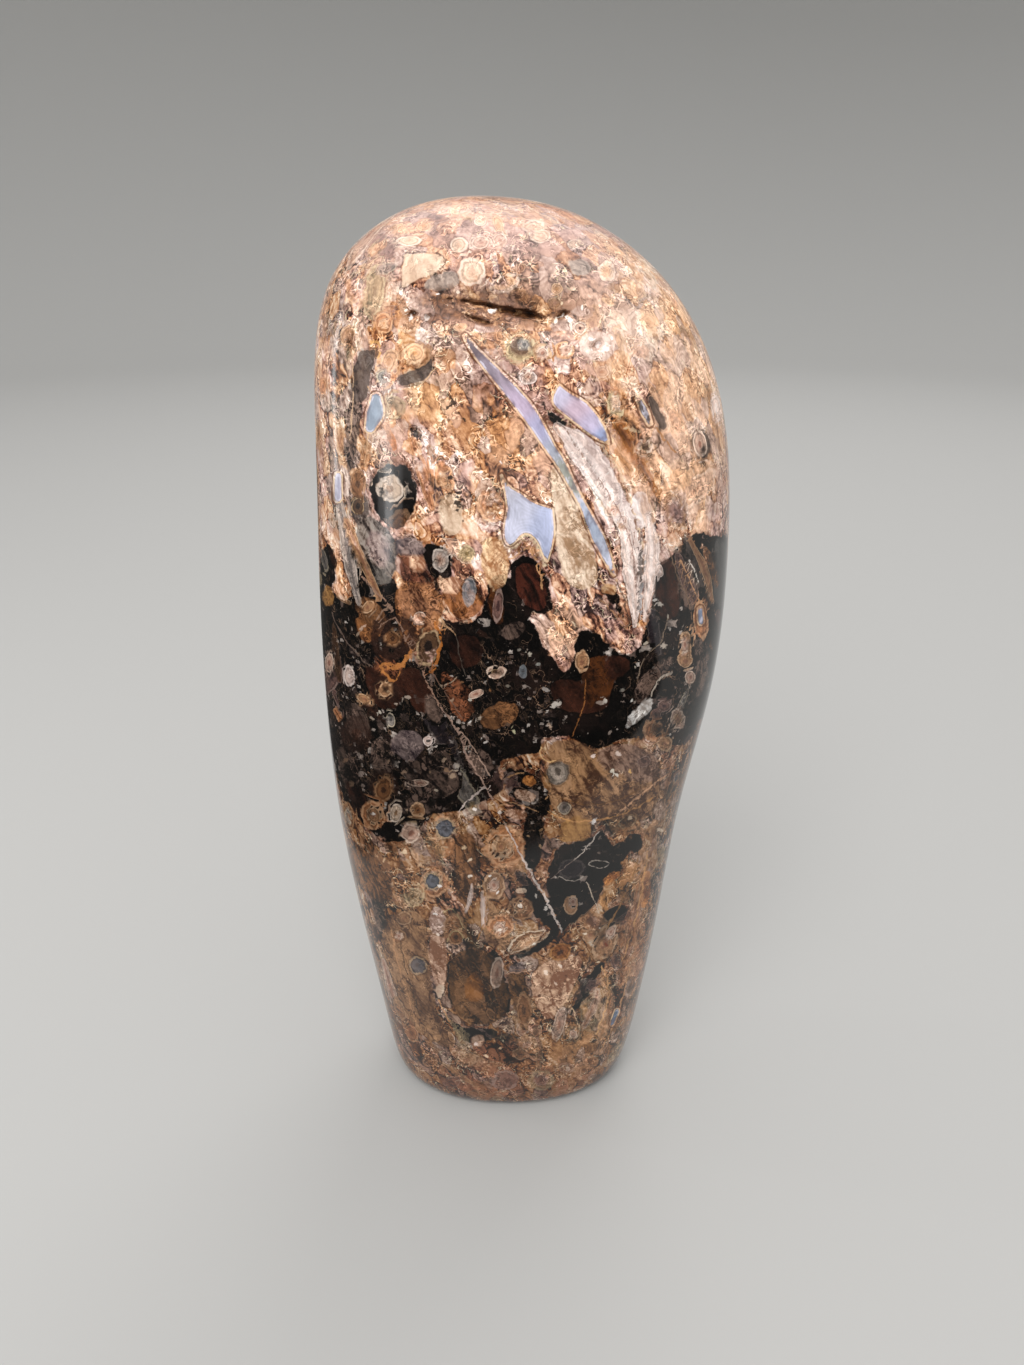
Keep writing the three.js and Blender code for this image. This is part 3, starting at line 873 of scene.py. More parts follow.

# %% [markdown]
# ## Roots
# Each root was a little cylinder with a core, a fleshy body and a pale skin. Cut across it is a
# ringed eye, cut aslant an oval, cut lengthwise a streak. A root is stored as the offset from its
# middle in half-widths, with its three colours, how clearly its skin and rings show, and how much
# it covers the ground. One pale fang near the right edge is a painted highlight, not a root.

# %% Kinds of root
# core, body, skin, how clear the skin is, how clear the rings are
ROOT_KINDS = {
    "cream": ("C8A28A", "D8B8A0", "E6D0C0", 0.6, 0.5),
    "cream eye": ("9A7250", "DCC0A8", "F0DECE", 0.6, 0.2),
    "tan": ("BC875C", "D2A480", "E8C8A6", 0.5, 0.8),
    "orange": ("74401F", "B47850", "DEAE86", 0.7, 0.8),
    "brown": ("3A2418", "7C5234", "B88E6A", 0.6, 0.6),
    "crumbly": ("8E6048", "A67A58", "DDB894", 0.6, 0.3),
    "dark": ("141010", "4A3424", "BC9E7A", 0.6, 0.5),
    "grey": ("4E4A48", "8E847C", "D6C4A6", 0.6, 0.4),
    "slate": ("4E4C50", "606066", "C0A07C", 0.9, 0.1),
    "blue grey": ("60666C", "80868C", "A0907E", 0.3, 0.6),
    "olive": ("6A5636", "A48C6A", "D2BC98", 0.6, 0.6),
    "pink": ("9A6A58", "C4A08C", "EED6C2", 0.7, 0.3),
    "mauve": ("3E2A2C", "7A5A52", "B89C90", 0.6, 0.5),
    "black": ("0C0A0A", "120E0D", "1E1611", 0.2, 0.1),
    "halo": ("44281C", "301D16", "1A120F", 0.2, 0.5),
    "amber": ("5A2C0E", "96561E", "CE924C", 0.5, 0.5),
    "fang": ("ECDAD2", "D8BEB2", "F4E4DC", 0.6, 0.2),
    "scribble": ("4A4038", "8E8074", "3A2C22", 0.7, 0.7),
    "dim": ("241C20", "2E262A", "6E625C", 0.5, 0.1),
    "ash": ("746A66", "A8988E", "D6C6B8", 0.6, 0.3),
}
# x, y, wide, high, kind, cover, and tilt where there is one; a later root lies over an earlier one
ROOTS = [
    (459, 245, 18, 17, "cream", 0.9), (408, 241, 26, 11, "cream", 0.9),
    (472, 271, 28, 28, "cream", 0.9), (504, 284, 34, 18, "cream", 0.8, 24),
    (504, 284, 24, 10, "tan", 0.7, 24), (557, 289, 12, 12, "tan", 0.8),
    (607, 271, 18, 22, "cream", 0.8, 15), (607, 271, 9, 11, "tan", 0.7, 15),
    (636, 290, 26, 32, "brown", 0.45, 20), (638, 290, 15, 20, "tan", 0.6, 20),
    (533, 226, 26, 12, "cream", 0.5, 5), (480, 222, 12, 8, "cream", 0.8),
    (520, 268, 12, 10, "orange", 0.5), (540, 236, 22, 14, "cream", 0.7),
    (388, 268, 22, 12, "grey", 0.5, 20), (424, 226, 16, 10, "tan", 0.6),
    (500, 240, 16, 14, "pink", 0.5), (574, 244, 14, 10, "cream", 0.6), (519, 296, 18, 14, "brown", 0.8),
    (555, 303, 14, 12, "crumbly", 0.6), (444, 300, 14, 8, "brown", 0.6),
    (648, 322, 16, 20, "tan", 0.5, 30), (668, 352, 18, 26, "tan", 0.4, 28),
    (616, 316, 18, 14, "cream", 0.4), (640, 352, 14, 12, "orange", 0.4),
    (654, 384, 16, 22, "crumbly", 0.4, 25), (690, 384, 14, 26, "tan", 0.4, 20),
    (676, 420, 14, 24, "orange", 0.4, 25), (630, 382, 16, 12, "cream", 0.5),
    (602, 372, 14, 12, "pink", 0.5), (384, 323, 19, 21, "orange", 0.9), (384, 323, 8, 9, "tan", 0.8),
    (348, 336, 16, 24, "crumbly", 0.8), (350, 340, 8, 12, "brown", 0.6),
    (388, 368, 26, 46, "orange", 0.9, -16), (389, 362, 17, 28, "tan", 0.8, -16),
    (383, 377, 14, 14, "grey", 1.0), (416, 354, 27, 27, "brown", 0.9), (414, 353, 21, 21, "tan", 1.0),
    (323, 386, 8, 18, "orange", 0.9), (520, 347, 30, 30, "olive", 1.0), (521, 346, 20, 20, "dark", 0.9),
    (524, 344, 11, 11, "grey", 1.0), (543, 353, 18, 18, "crumbly", 1.0),
    (543, 353, 11, 11, "pink", 1.0), (565, 350, 21, 20, "orange", 1.0), (566, 350, 12, 12, "pink", 1.0),
    (580, 328, 13, 13, "pink", 1.0), (528, 377, 18, 15, "fang", 0.9), (528, 377, 9, 8, "pink", 0.9),
    (460, 327, 14, 8, "tan", 0.7, 10), (616, 406, 23, 34, "orange", 0.7, 20),
    (616, 406, 17, 27, "olive", 1.0, 20), (616, 403, 9, 16, "cream", 0.8, 20),
    (645, 446, 23, 23, "brown", 0.9), (645, 446, 17, 17, "pink", 0.9), (645, 447, 9, 9, "dark", 0.9),
    # The pale fang at (716, 408) is a painted highlight on the right edge, not a root.
    (700, 444, 14, 28, "pink", 1.0, 8), (716, 408, 9, 28, "fang", 0.9, 8),
    (675, 509, 20, 38, "brown", 0.8, 20), (676, 512, 12, 24, "mauve", 0.9, 20),
    (672, 546, 14, 10, "cream", 0.6), (366, 444, 12, 34, "brown", 0.6, -8),
    (390, 489, 28, 29, "cream eye", 1.0), (358, 484, 17, 34, "brown", 0.9),
    (358, 506, 13, 18, "dark", 0.9), (444, 477, 20, 34, "orange", 0.9, 12),
    (444, 480, 10, 16, "crumbly", 0.8, 12), (492, 506, 28, 36, "orange", 0.7, 15),
    (493, 506, 14, 20, "brown", 0.6, 15), (440, 560, 17, 24, "ash", 1.0, 8),
    (440, 560, 7, 11, "pink", 0.8, 8), (467, 553, 16, 18, "olive", 1.0),
    (498, 606, 10, 36, "mauve", 0.9, -4), (469, 591, 14, 32, "blue grey", 0.6, -4),
    (613, 510, 16, 12, "pink", 0.9, 20), (621, 525, 10, 8, "crumbly", 0.8),
    (660, 571, 7, 14, "fang", 0.8, 10), (340, 440, 9, 30, "crumbly", 0.5),
    (420, 618, 14, 12, "pink", 0.9, 20), (368, 607, 16, 11, "crumbly", 1.0, 40),
    (393, 638, 50, 46, "halo", 0.9), (393, 637, 26, 26, "halo", 0.8), (393, 638, 15, 16, "brown", 1.0),
    (385, 690, 28, 28, "halo", 0.8), (385, 690, 15, 16, "crumbly", 1.0), (385, 689, 7, 7, "dark", 0.9),
    (428, 648, 24, 38, "dark", 1.0, -22), (496, 672, 22, 14, "pink", 0.9),
    (496, 672, 10, 6, "dark", 0.9), (349, 676, 11, 22, "fang", 0.8, 8), (329, 663, 9, 21, "pink", 0.9),
    (364, 699, 17, 9, "crumbly", 1.0, -35), (391, 720, 9, 15, "grey", 1.0, 10),
    (428, 741, 11, 11, "fang", 1.0), (476, 694, 17, 8, "pink", 1.0, 25),
    (582, 662, 15, 24, "crumbly", 1.0), (523, 672, 9, 15, "blue grey", 0.6),
    (664, 706, 14, 12, "mauve", 0.8), (685, 645, 14, 28, "crumbly", 1.0),
    (685, 645, 7, 16, "pink", 0.9), (685, 661, 15, 14, "crumbly", 0.9), (690, 677, 11, 14, "pink", 0.9),
    (701, 621, 15, 42, "orange", 1.0, 4), (654, 731, 22, 22, "orange", 0.9),
    (657, 729, 10, 12, "brown", 0.9), (678, 719, 15, 22, "pink", 0.9),
    (678, 719, 7, 12, "crumbly", 0.9), (665, 744, 17, 16, "crumbly", 0.9),
    (667, 688, 18, 20, "black", 1.0), (644, 762, 14, 10, "mauve", 0.6, 20),
    (356, 734, 34, 40, "halo", 0.7), (384, 785, 30, 32, "halo", 0.8),
    (384, 790, 18, 26, "brown", 1.0, -5), (373, 815, 26, 30, "orange", 1.0, 20),
    (374, 815, 13, 17, "crumbly", 0.9, 20), (396, 813, 13, 19, "cream eye", 0.9, -10),
    (418, 810, 16, 16, "crumbly", 1.0), (418, 810, 8, 8, "brown", 1.0), (419, 783, 22, 8, "pink", 0.9),
    (412, 833, 26, 26, "dark", 0.9), (411, 833, 20, 20, "pink", 1.0), (445, 829, 28, 28, "orange", 0.8),
    (445, 829, 21, 21, "slate", 1.0), (435, 882, 30, 28, "orange", 0.9),
    (433, 881, 18, 18, "slate", 1.0), (418, 965, 19, 19, "slate", 0.8),
    (348, 816, 12, 28, "brown", 0.9, 8), (348, 816, 6, 16, "grey", 0.8, 8),
    (505, 847, 42, 44, "orange", 0.8), (502, 847, 22, 22, "tan", 0.8),
    (501, 847, 13, 14, "crumbly", 0.9), (494, 885, 22, 28, "crumbly", 0.9),
    (494, 885, 10, 12, "pink", 0.9), (501, 926, 26, 26, "orange", 0.9), (500, 928, 11, 11, "pink", 0.9),
    (520, 908, 26, 26, "brown", 0.9), (520, 908, 12, 12, "crumbly", 0.8),
    (414, 896, 20, 18, "olive", 0.6), (455, 931, 24, 36, "brown", 0.7, 4),
    (456, 937, 16, 17, "brown", 1.0), (399, 937, 15, 15, "brown", 0.9), (399, 936, 6, 7, "pink", 0.9),
    (404, 918, 16, 14, "crumbly", 0.6), (558, 773, 25, 24, "scribble", 1.0, 20),
    (571, 905, 15, 20, "crumbly", 1.0, -8), (573, 902, 8, 9, "pink", 0.8),
    (571, 869, 28, 20, "dim", 0.9, 8), (527, 941, 40, 17, "brown", 0.9, 24),
    (529, 942, 26, 8, "tan", 0.7, 24), (606, 942, 22, 40, "crumbly", 1.0, -28),
    (611, 932, 9, 15, "pink", 1.0, -28), (524, 1010, 15, 36, "brown", 0.8, 4),
    (559, 1024, 13, 36, "pink", 0.8, -14), (573, 1034, 16, 16, "dark", 0.8),
    (573, 1034, 8, 9, "pink", 0.9), (505, 1080, 27, 22, "mauve", 0.7),
    (541, 1080, 28, 22, "olive", 0.5), (541, 1080, 14, 11, "mauve", 0.6),
    (634, 842, 16, 20, "black", 1.0, 20), (564, 808, 14, 13, "grey", 0.8),
    (627, 822, 22, 12, "dark", 0.8, 25), (412, 1034, 12, 20, "orange", 0.7, 25),
    (560, 952, 24, 18, "amber", 0.8, 20), (497, 972, 13, 34, "pink", 0.7, -6),
    (400, 1010, 10, 26, "crumbly", 0.5, 22), (616, 962, 12, 14, "mauve", 0.7),
    (590, 935, 16, 10, "crumbly", 0.8, 30), (466, 1060, 22, 14, "crumbly", 0.5, 10),
    (590, 1060, 18, 12, "orange", 0.5, -20), (430, 1060, 16, 14, "orange", 0.4),
    (520, 1054, 18, 12, "crumbly", 0.4), (566, 1068, 16, 12, "mauve", 0.4),
    (476, 1094, 20, 8, "crumbly", 0.4), (524, 1098, 22, 8, "orange", 0.4),
    (560, 1094, 20, 8, "crumbly", 0.4), (452, 1082, 18, 12, "mauve", 0.4),
]
# points along the root, widths, kind, cover
LONG_ROOTS = [
    ([339, 500, 346, 540, 352, 574, 359, 604], [7, 13, 12, 4], "ash", 0.9),
    ([346, 520, 360, 556, 380, 598], [7, 10, 5], "crumbly", 0.8),
    ([412, 440, 422, 470, 432, 508], [8, 13, 7], "orange", 0.8),
    ([428, 446, 436, 462, 440, 500], [4, 6, 3], "brown", 0.7),
    ([558, 427, 584, 450, 606, 484, 624, 524], [10, 26, 22, 8], "fang", 0.5),
    ([586, 404, 606, 440, 640, 480, 654, 540], [10, 14, 16, 8], "tan", 0.5),
    ([604, 396, 628, 440, 656, 492], [6, 14, 6], "amber", 0.7),
    ([623, 520, 630, 560, 635, 628], [10, 17, 3], "fang", 0.9),
    ([648, 516, 653, 560, 644, 620], [8, 14, 3], "fang", 0.9),
    ([678, 556, 690, 590, 698, 612], [8, 14, 5], "mauve", 0.5),
    ([690, 540, 706, 570, 712, 600], [5, 9, 4], "crumbly", 0.7),
    ([335, 710, 342, 722, 349, 735], [4, 8, 5], "orange", 0.9),
    ([604, 980, 612, 1000, 600, 1040], [6, 12, 6], "tan", 0.5),
    ([640, 884, 634, 926, 620, 984], [8, 12, 6], "orange", 0.6),
    ([654, 830, 650, 870, 640, 900], [6, 12, 6], "crumbly", 0.5),
    ([383, 960, 390, 986, 400, 1020], [4, 9, 5], "pink", 0.8),
    ([482, 894, 484, 910, 483, 926], [3, 6, 3], "fang", 0.7),
    ([472, 884, 470, 900, 466, 912], [2, 5, 2], "fang", 0.7),
    ([584, 1026, 594, 1006, 598, 990], [5, 9, 4], "pink", 0.6),
    ([536, 1032, 540, 1050, 538, 1066], [6, 9, 5], "crumbly", 0.5),
]

# %% [markdown]
# ## The roots that nobody has drawn
# All over the stone roots of the same kinds lie at random, most of them running down and to the
# right as the long ones on the front do. A seeded generator gives the same roots each time. On the
# front they stay out of the places that are taken, and are fainter.

# %% Random roots
RANDOM_ROOTS = 2300
RANDOM_SEED = 21
MAIN_RUN = np.array([0.42, -0.1, -0.9])
RUN_SPREAD = 0.5
STRAY_SHARE = 0.5
SMALL_ROOT, LARGE_ROOT = 0.5, 2.2
ROOT_LENGTH = 6.0
FRONT_SHARE = 0.3
FRONT_COVER = 0.75
TOP_FROM = 85
SHADES = (0.75, 1.2)
COVERS = (0.35, 1.0)
JITTER = 0.3
TOP_KINDS = ["tan", "tan", "crumbly", "orange", "pink", "olive", "pink", "crumbly", "cream eye", "mauve"]
BLACK_KINDS = ["brown", "mauve", "halo", "dim", "grey", "black", "mauve", "halo"]
LOW_KINDS = ["orange", "brown", "crumbly", "olive", "pink", "dark", "amber", "mauve", "slate", "tan"]
ROOTLESS = [
    [420, 380, 440, 345, 470, 340, 500, 385, 545, 400, 600, 400, 650, 500, 652, 640,
     600, 670, 560, 680, 530, 640, 500, 540, 440, 540, 424, 500, 400, 430],
    [544, 740, 600, 752, 664, 744, 662, 830, 612, 830, 545, 840],
    [544, 836, 650, 828, 620, 880, 560, 936, 540, 900],
    [500, 700, 570, 700, 640, 650, 660, 640, 640, 740, 500, 760],
    [446, 944, 512, 944, 514, 1022, 446, 1026],
    [396, 284, 470, 284, 566, 300, 560, 330, 440, 332, 396, 330],
    [396, 586, 486, 576, 490, 628, 440, 640, 396, 640],
    [500, 225, 600, 225, 616, 300, 500, 300],
    [446, 640, 560, 640, 604, 690, 560, 760, 500, 772, 476, 720],
    [518, 776, 560, 780, 556, 880, 518, 884],
]
ROOT_EDGE = 1.15
ROOT_MARGIN = 1.2
PATCH_MARGIN = 0.4
NOTHING_NEAR = 3.0

root = {name: np.zeros((point_count, 3)) for name in ("place", "core", "body", "skin", "style")}
root_near = np.full(point_count, NOTHING_NEAR)
root["place"][:, 0] = NOTHING_NEAR


def lay_root(where, place, kind, cover, shade=1.0):
    """Lays one root over those before it, at some points.

    It takes the points that are inside it, and those that it is nearer to than any root before.
    """
    size = np.linalg.norm(place, axis=-1)
    wins = (size < ROOT_EDGE) | (size < root_near[where])
    won = where[wins]
    core, body, skin, clear_skin, clear_rings = ROOT_KINDS[kind]
    root_near[won] = size[wins]
    root["place"][won] = place[wins]
    for layer, code in (("core", core), ("body", body), ("skin", skin)):
        root[layer][won] = linear(code) * shade
    root["style"][won] = clear_skin, clear_rings, cover


def oval_place(x, y, wide, high, tilt=0):
    """Every point's offset along and across a tilted oval, in half-widths."""
    turn = math.radians(tilt)
    right, up = pixel[:, 0] - x, y - pixel[:, 1]
    along = (right * math.cos(turn) + up * math.sin(turn)) / (wide / 2)
    across = (up * math.cos(turn) - right * math.sin(turn)) / (high / 2)
    return np.stack([along, across, 0 * along], -1)


shown = np.flatnonzero(seen > SEEN_WELL)
taken = (np.maximum(patch, lilac) > -PATCH_MARGIN) & (seen > SEEN_WELL)
for x, y, wide, high, kind, cover, *tilt in ROOTS:
    taken[shown] |= np.linalg.norm(oval_place(x, y, wide, high, *tilt)[shown], axis=-1) < ROOT_MARGIN
for corners in ROOTLESS:
    taken |= patch_depth(corners) > 0
free = np.flatnonzero(~taken)
random = np.random.default_rng(RANDOM_SEED)
chance = np.where(facing[free] > 0, FRONT_SHARE, 1.0)
for seed in random.choice(free, RANDOM_ROOTS, p=chance / chance.sum()):
    run = random.normal(size=3) * RUN_SPREAD + MAIN_RUN
    if random.random() < STRAY_SHARE:
        run = random.normal(size=3)
    run /= np.linalg.norm(run)
    sideways = np.cross(run, random.normal(size=3))
    sideways /= np.linalg.norm(sideways)
    over = np.cross(run, sideways)
    radius = SMALL_ROOT + (LARGE_ROOT - SMALL_ROOT) * random.random() ** 2
    length = radius + random.uniform(0.5, 1) * ROOT_LENGTH
    kinds = TOP_KINDS if points[seed, 2] > TOP_FROM else LOW_KINDS
    kinds = BLACK_KINDS if black[seed] > 0 else kinds
    kind = kinds[random.integers(len(kinds))]
    shade, cover = random.uniform(*SHADES), random.uniform(*COVERS)
    cover *= FRONT_COVER if facing[seed] > 0 else 1.0
    offset = points[free] - points[seed] + random.normal(size=3) * JITTER
    near = np.abs(offset).max(-1) < length
    offset = offset[near]
    place = np.stack([offset @ sideways / radius, offset @ over / radius, offset @ run / length], -1)
    lay_root(free[near], place, kind, cover, shade)
print(RANDOM_ROOTS, "random roots")

# %% Named roots over them
for path, widths, kind, cover in LONG_ROOTS:
    field = strand_offset(path, widths)
    place = np.stack([field[0], field[1], 0 * field[0]], -1)
    lay_root(shown, place[shown], kind, cover)
for x, y, wide, high, kind, cover, *tilt in ROOTS:
    lay_root(shown, oval_place(x, y, wide, high, *tilt)[shown], kind, cover)
print(len(ROOTS) + len(LONG_ROOTS), "named roots")

# %% [markdown]
# ## Threads and dots
# A healed crack crosses the front as a thin, frayed vein. Hair-thin seams, the edges of roots cut
# lengthwise, and the layers over the arch are threads too. Along the open crack in the hollow a dark
# thread is painted shade and a pale one a painted highlight. Dots are the smallest marks: white
# crystals and black manganese, and one white dot in the crack is a painted highlight.

# %% Threads
# points along the thread, widths, colour
THREADS = [
    ([362, 576, 375, 592, 389, 603, 400, 623, 407, 643, 419, 666, 430, 689, 442, 709], [1.6, 2],
     "927260"),
    ([442, 709, 457, 730, 468, 759, 478, 774, 486, 788, 496, 806, 506, 826], [1.6, 2.2, 1.8], "93786A"),
    ([506, 826, 516, 846, 526, 864, 538, 885, 550, 908, 561, 932], [1.4, 2, 2.8], "BCAEA6"),
    ([408, 632, 420, 652, 433, 674, 446, 694, 462, 718], [1.2], "6E5244"),
    ([448, 716, 470, 742, 490, 776], [1.5], "A08474"),
    ([600, 831, 588, 846, 576, 859], [1.4], "B8AAA0"),
    ([576, 859, 562, 869, 550, 880], [1, 0.8], "6A5A52"),
    ([587, 882, 592, 895, 599, 913], [1.4, 1.2], "A89888"),
    ([586, 680, 585, 696, 582, 712, 577, 724, 572, 738], [1.8, 1.2], "8E5A30"),
    ([458, 812, 468, 800, 482, 790, 490, 786], [1.6], "B0A098"),
    ([498, 531, 503, 541, 509, 549, 515, 545, 520, 538, 529, 536, 537, 543, 542, 554, 546, 567], [3],
     "F0D8B4"),
    ([497, 535, 502, 546, 509, 554, 516, 550, 522, 543, 529, 541, 535, 548, 540, 560, 544, 574], [3.6],
     "7A4A2C"),
    ([499, 545, 508, 560, 517, 556, 523, 549, 529, 547, 534, 555, 539, 570, 543, 590], [2], "C8966A"),
    ([612, 572, 618, 580, 614, 588, 606, 586, 600, 576], [3, 3, 2], "D8AC80"),
    ([555, 409, 568, 418, 582, 430, 596, 441, 610, 446, 613, 440], [2, 3, 2], "E8C8A0"),
    ([610, 445, 606, 432, 598, 418, 586, 405], [1.5], "E4CCAE"),
    ([561, 424, 572, 440, 584, 458, 600, 480, 612, 500], [1.5], "7E5A48"),
    ([584, 428, 600, 446, 616, 472, 630, 504, 640, 540], [2], "8A5E44"),
    ([590, 432, 608, 452, 624, 480, 636, 512, 643, 546], [2], "E6C8A6"),
    ([568, 434, 580, 446, 592, 466, 596, 474, 606, 476, 610, 470], [1.4], "F4E4DC"),
    ([592, 484, 606, 500, 620, 530, 628, 566], [1.5], "F0DCD0"),
    ([604, 486, 620, 512, 634, 552, 636, 600], [1.4, 1.2], "9A7468"),
    ([641, 536, 641, 570, 639, 610], [4, 5, 3], "1A1412"),
    ([646, 560, 642, 590, 641, 620], [1.5], "B8B4B4"),
    ([616, 580, 624, 600, 630, 622], [2, 3], "4A3830"),
    ([600, 600, 614, 612, 626, 630], [2], "BC8C6C"),
    ([669, 617, 664, 632, 662, 642, 650, 652, 642, 662, 637, 680], [1.3], "7A6858"),
    ([673, 673, 662, 676, 655, 684, 651, 697], [2, 1.5], "A89A8C"),
    ([680, 560, 690, 580, 700, 602], [1.5], "C09066"),
    ([689, 560, 694, 569, 698, 582], [1.6, 1.4], "D8CCC0"),
    ([436, 622, 441, 640, 439, 658, 431, 672], [3], "B06A30"),
    ([668, 548, 676, 572, 688, 600, 694, 630], [1.5], "6E5644"),
    ([332, 612, 337, 626, 346, 640, 354, 650, 362, 660, 372, 668], [1.4, 1.6], "66544A"),
    ([411, 652, 404, 660, 398, 668, 386, 664, 380, 668, 388, 678, 396, 682, 401, 672], [5, 4, 2],
     "B4743E"),
    ([438, 618, 446, 626, 456, 634], [3, 1.5], "B8906C"),
    ([456, 634, 458, 646, 460, 660, 466, 676], [1.2], "4E443C"),
    ([376, 620, 384, 610, 392, 606], [2], "8A6E5C"),
    ([378, 630, 384, 622, 394, 618], [1.5], "7E6252"),
    ([440, 686, 452, 682, 458, 676], [1.5, 1], "9A8672"),
    ([372, 344, 378, 341, 381, 350, 378, 358], [4, 3, 2], "DFA868"),
    ([355, 348, 352, 368, 354, 390, 352, 414, 350, 440], [1.5], "D0AC8C"),
    ([368, 386, 374, 398, 368, 414, 368, 440, 364, 464], [1.5, 1.2], "C49C78"),
    ([398, 388, 412, 390, 426, 382, 436, 366], [1.5], "D8B08A"),
    ([623, 428, 630, 425, 634, 431, 640, 432], [3], "D8B690"),
    ([656, 428, 664, 440, 676, 452], [2], "B47C4C"),
    ([404, 893, 408, 904, 416, 908, 424, 900, 424, 890, 418, 884], [1.4], "A8906E"),
    ([443, 912, 450, 908, 458, 914, 464, 928], [1.4], "A08A64"),
    ([447, 942, 451, 932, 458, 930, 464, 938], [1.4], "9C8660"),
    ([454, 836, 455, 858, 454, 880], [2], "2A1A12"),
    ([478, 838, 478, 864, 476, 900], [2, 1.5], "3A2416"),
    ([482, 880, 486, 896, 486, 920, 478, 940], [1.5], "8A5E30"),
    ([505, 955, 520, 951, 536, 944, 550, 932], [2], "B0967E"),
    ([508, 950, 514, 938, 528, 932, 544, 930], [1.5, 2.2], "CBB59E"),
    ([508, 974, 520, 972, 532, 970], [1.5], "A8826A"),
    ([510, 966, 524, 966, 536, 962], [1.5], "3A2A20"),
    ([583, 850, 589, 846, 600, 845], [0.8], "2A2624"),
    ([588, 864, 592, 861, 599, 860, 606, 861, 610, 864, 606, 867, 599, 868, 592, 867, 588, 864], [1.2],
     "867C74"),
    ([559, 876, 568, 881, 580, 880, 584, 876], [1.2], "8A8078"),
    ([548, 812, 570, 822, 600, 820, 630, 812, 656, 796], [1.6], "B08050"),
    ([620, 812, 636, 798, 652, 786, 668, 774], [2], "C89A78"),
    ([560, 798, 590, 806, 620, 800, 646, 786], [1.4], "6A4626"),
    ([541, 745, 540, 756, 548, 764, 556, 760], [1.6], "C8A070"),
    ([546, 800, 552, 790, 548, 776], [1.6], "8E6A48"),
    ([503, 780, 512, 776, 524, 772], [1.6], "8A6848"),
    ([500, 806, 510, 802, 524, 806, 538, 812], [1.6], "9A7654"),
    ([638, 858, 632, 880, 620, 906, 606, 930], [1.6], "8A6238"),
    ([648, 850, 644, 880, 636, 920, 622, 962], [1.6], "B88858"),
    ([590, 955, 584, 976, 574, 1000, 562, 1016], [2], "2E2018"),
    ([602, 966, 610, 984, 606, 1010, 596, 1034], [2], "C89868"),
    ([566, 1000, 574, 1012, 580, 1030], [1.5], "D8B490"),
    ([600, 1052, 612, 1030, 622, 1000, 630, 968], [1.5], "BC8C62"),
    ([400, 940, 404, 964, 412, 990, 420, 1016], [1.4], "3E2A1C"),
    ([392, 930, 396, 956, 406, 990, 416, 1022], [1.5], "A87C58"),
    ([438, 1000, 444, 1014, 450, 1022], [1.5], "B8865A"),
    # Along the open crack: the dark thread is painted shade in the crack, the pale one a painted
    # highlight.
    ([468, 300, 480, 304, 496, 308, 512, 312, 528, 314, 548, 318], [2, 3, 1.5], "3A2414"),
    ([486, 306, 500, 311, 520, 314], [1.4], "D0B890"),
    ([470, 310, 484, 318, 500, 320], [1.6], "6A4426"),
]


def lay_threads():
    """Every point's offset in the thread that is nearest to it, and that thread's colour."""
    place = np.full((point_count, 3), FAR)
    colour = np.zeros((point_count, 3))
    for path, widths, code in THREADS:
        field = strand_offset(path, widths).T
        wins = (field[:, 2] < place[:, 2]) & (seen > JUST_SEEN)
        place[wins] = field[wins]
        colour[wins] = linear(code)
    return np.minimum(place, FAR), colour


thread_place, thread_colour = lay_threads()
print(len(THREADS), "threads")

